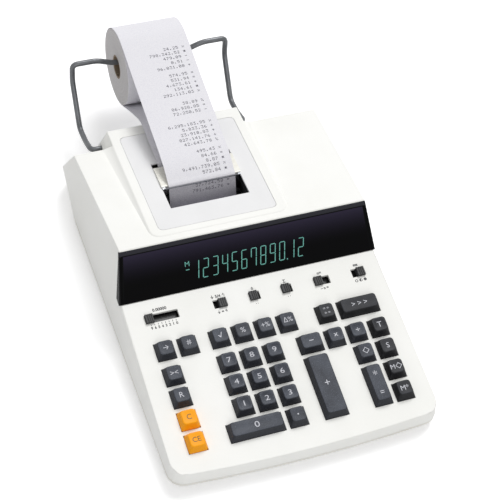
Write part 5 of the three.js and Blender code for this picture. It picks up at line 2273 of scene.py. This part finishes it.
@dataclass(frozen=True)
class RollSizes:
    """The paper roll and the wire arms that hold it; the bow's points are shares of its reach."""

    half_width: float = 28.75
    turn_step: float = 0.8
    loose: Pair = (0.02, 0.22)
    end_band: float = 1
    seed: int = 7
    fit: float = 0.05
    core_outer: float = 10.3
    core_inner: float = 8.75
    core_inset: float = 0.1
    core_edge: float = 0.2
    wire: float = 2.0
    coating: float = 0.3
    tip: float = 0.6
    bend: float = 5.0
    bend_steps: int = 8
    root_depth: float = 6
    spread: float = 68.5
    bow: tuple[Pair, ...] = ((0.265, -0.184), (0.51, -0.24), (0.95, 0.56))
    clear: float = 3.5
    shoulder: float = 15
    grip: float = 12
    bore_from: float = 4


class RollStand(Assembly):
    """The paper roll with its core, and the two wire arms that grip it."""

    sizes = RollSizes()

    def build(self) -> None:
        """Builds the roll, its core and both arms."""
        self.build_roll()
        self.build_core()
        for side, node in ((-1, "arm_left"), (1, "arm_right")):
            self.build_arm(side, node)

    def roll_plane(self) -> Matrix:
        """Where the roll's axis lies."""
        low, high = node_bounds("paper_roll")
        return Matrix.Translation((low + high) / 2)

    def build_roll(self) -> None:
        """The wound paper, its turns standing a little unevenly at both ends."""
        s = self.sizes
        low, high = node_bounds("paper_roll")
        radius = (high.z - low.z) / 2 - s.fit
        rng = random.Random(s.seed)
        count = int((radius - s.core_outer) / s.turn_step)
        radii = [s.core_outer + (radius - s.core_outer) * i / count for i in range(count + 1)]
        ends = []
        for side in (-1, 1):
            steps = [s.half_width - rng.uniform(*s.loose) for _ in radii]
            ends.append([(r, side * x) for r, x in zip(radii, steps)])
        shape = lathe(ends[0] + list(reversed(ends[1])), sides=72)
        for face in shape.faces:
            at_end = abs(face.calc_center_median().x) > s.half_width - s.end_band
            face.material_index = 1 if at_end else 0
        centre = self.roll_plane().translation
        rings = Wound("roll_end", Slot.PAPER, ROLL_END_COLOR, ROLL_RING_COLOR, centre.y, centre.z)
        place(shape, "roll_of_paper", PAPER, "roll", self.roll_plane(), replaces=["paper_roll"],
              crease=25, extra=[rings])

    def build_core(self) -> None:
        """The cardboard tube that the paper is wound on."""
        s = self.sizes
        inner, outer, edge = s.core_inner, s.core_outer + s.fit, s.core_edge
        wide = s.half_width - s.core_inset
        profile = [(inner, -wide + edge), (inner + edge, -wide), (outer, -wide), (outer, wide),
                   (inner + edge, wide), (inner, wide - edge)]
        place(lathe(profile, sides=48), "roll_core", CORE, "roll", self.roll_plane(), crease=40)

    def arm_path(self, side: int) -> Line:
        """The bends of one arm as a fine line.

        Args:
            side: -1 for the left arm and 1 for the right one.

        Returns:
            The line from inside the housing to the roll's bore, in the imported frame.
        """
        s, layout = self.sizes, self.layout
        low, high = node_bounds("arm_left" if side < 0 else "arm_right")
        axis = self.roll_plane().translation
        pivot_y, pivot_z = low.y + s.wire, layout.pivot_height
        lean = (layout.tail_top.z - pivot_z) * tangent(layout.tail_draft)
        root = layout.housing_width / 2 + lean - s.root_depth
        reach, rise = axis.y - pivot_y, high.z - s.wire - pivot_z
        foot, drop = s.half_width + s.clear, self.grip_height() - pivot_z
        bends = [(root, 0, 0), (s.spread, 0, 0)]
        bends += [(s.spread, reach * along, rise * up) for along, up in s.bow]
        bends += [(s.spread, reach, rise), (foot + s.shoulder, reach, rise), (foot, reach, drop),
                  (foot - s.clear - s.grip, reach, drop)]
        points = [Vector((layout.housing_centre + side * x, pivot_y + y, pivot_z + z))
                  for x, y, z in bends]
        path = [points[0]]
        for before, corner, after in zip(points, points[1:], points[2:]):
            into, out = (corner - before).normalized(), (after - corner).normalized()
            start, end = corner - into * s.bend, corner + out * s.bend
            for i in range(s.bend_steps + 1):
                t = i / s.bend_steps
                path.append(start.lerp(corner, t).lerp(corner.lerp(end, t), t))
        return [*path, points[-1]]

    def grip_height(self) -> float:
        """The height of the wire end inside the roll's bore.

        Returns:
            The height of its middle line.
        """
        shape = node_shape("arm_left")
        start = node_bounds("paper_roll")[0].x + self.sizes.bore_from
        inside = [v.co.z for v in shape.verts if v.co.x > start]
        shape.free()
        return (min(inside) + max(inside)) / 2 - self.sizes.coating

    def build_arm(self, side: int, node: str) -> None:
        """One wire arm with rounded ends.

        Args:
            side: -1 for the left arm and 1 for the right one.
            node: The arm's node.
        """
        s = self.sizes
        shape = sweep(self.arm_path(side), s.wire + s.coating, sides=24)
        soften(shape, s.tip, segments=3, angle=60)
        place(shape, f"{node}_wire", WIRE, node, replaces=[node], crease=50)


class Electronics(Assembly):
    """Boards, tube, transformer and bush, which mostly stay out of sight inside the case."""

    finishes = {
        "main_board": BOARD, "contact_mat": RUBBER, "key_guide_plate": GUIDE, "display_tube": GLASS,
        "transformer": IRON, "cord_inlet": FOOT,
    }

    def build(self) -> None:
        """Dresses each piece as it was constructed."""
        for node, finish in self.finishes.items():
            dress_node(node, finish)


def main() -> None:
    """Builds the calculator and its surroundings in order."""
    logging.basicConfig(level=logging.INFO, format="%(message)s")
    layout = Layout(shift=CAD_BOX[0][1] / MM)
    for kind in (Casing, DisplayPanel, Keyboard, SlideSwitches, PrinterCover, PrinterWorks, PaperPath,
                 RollStand, Electronics, Studio):
        LOG.info("building %s", kind.__name__)
        kind(layout).build()


if __name__ == "__main__":
    main()
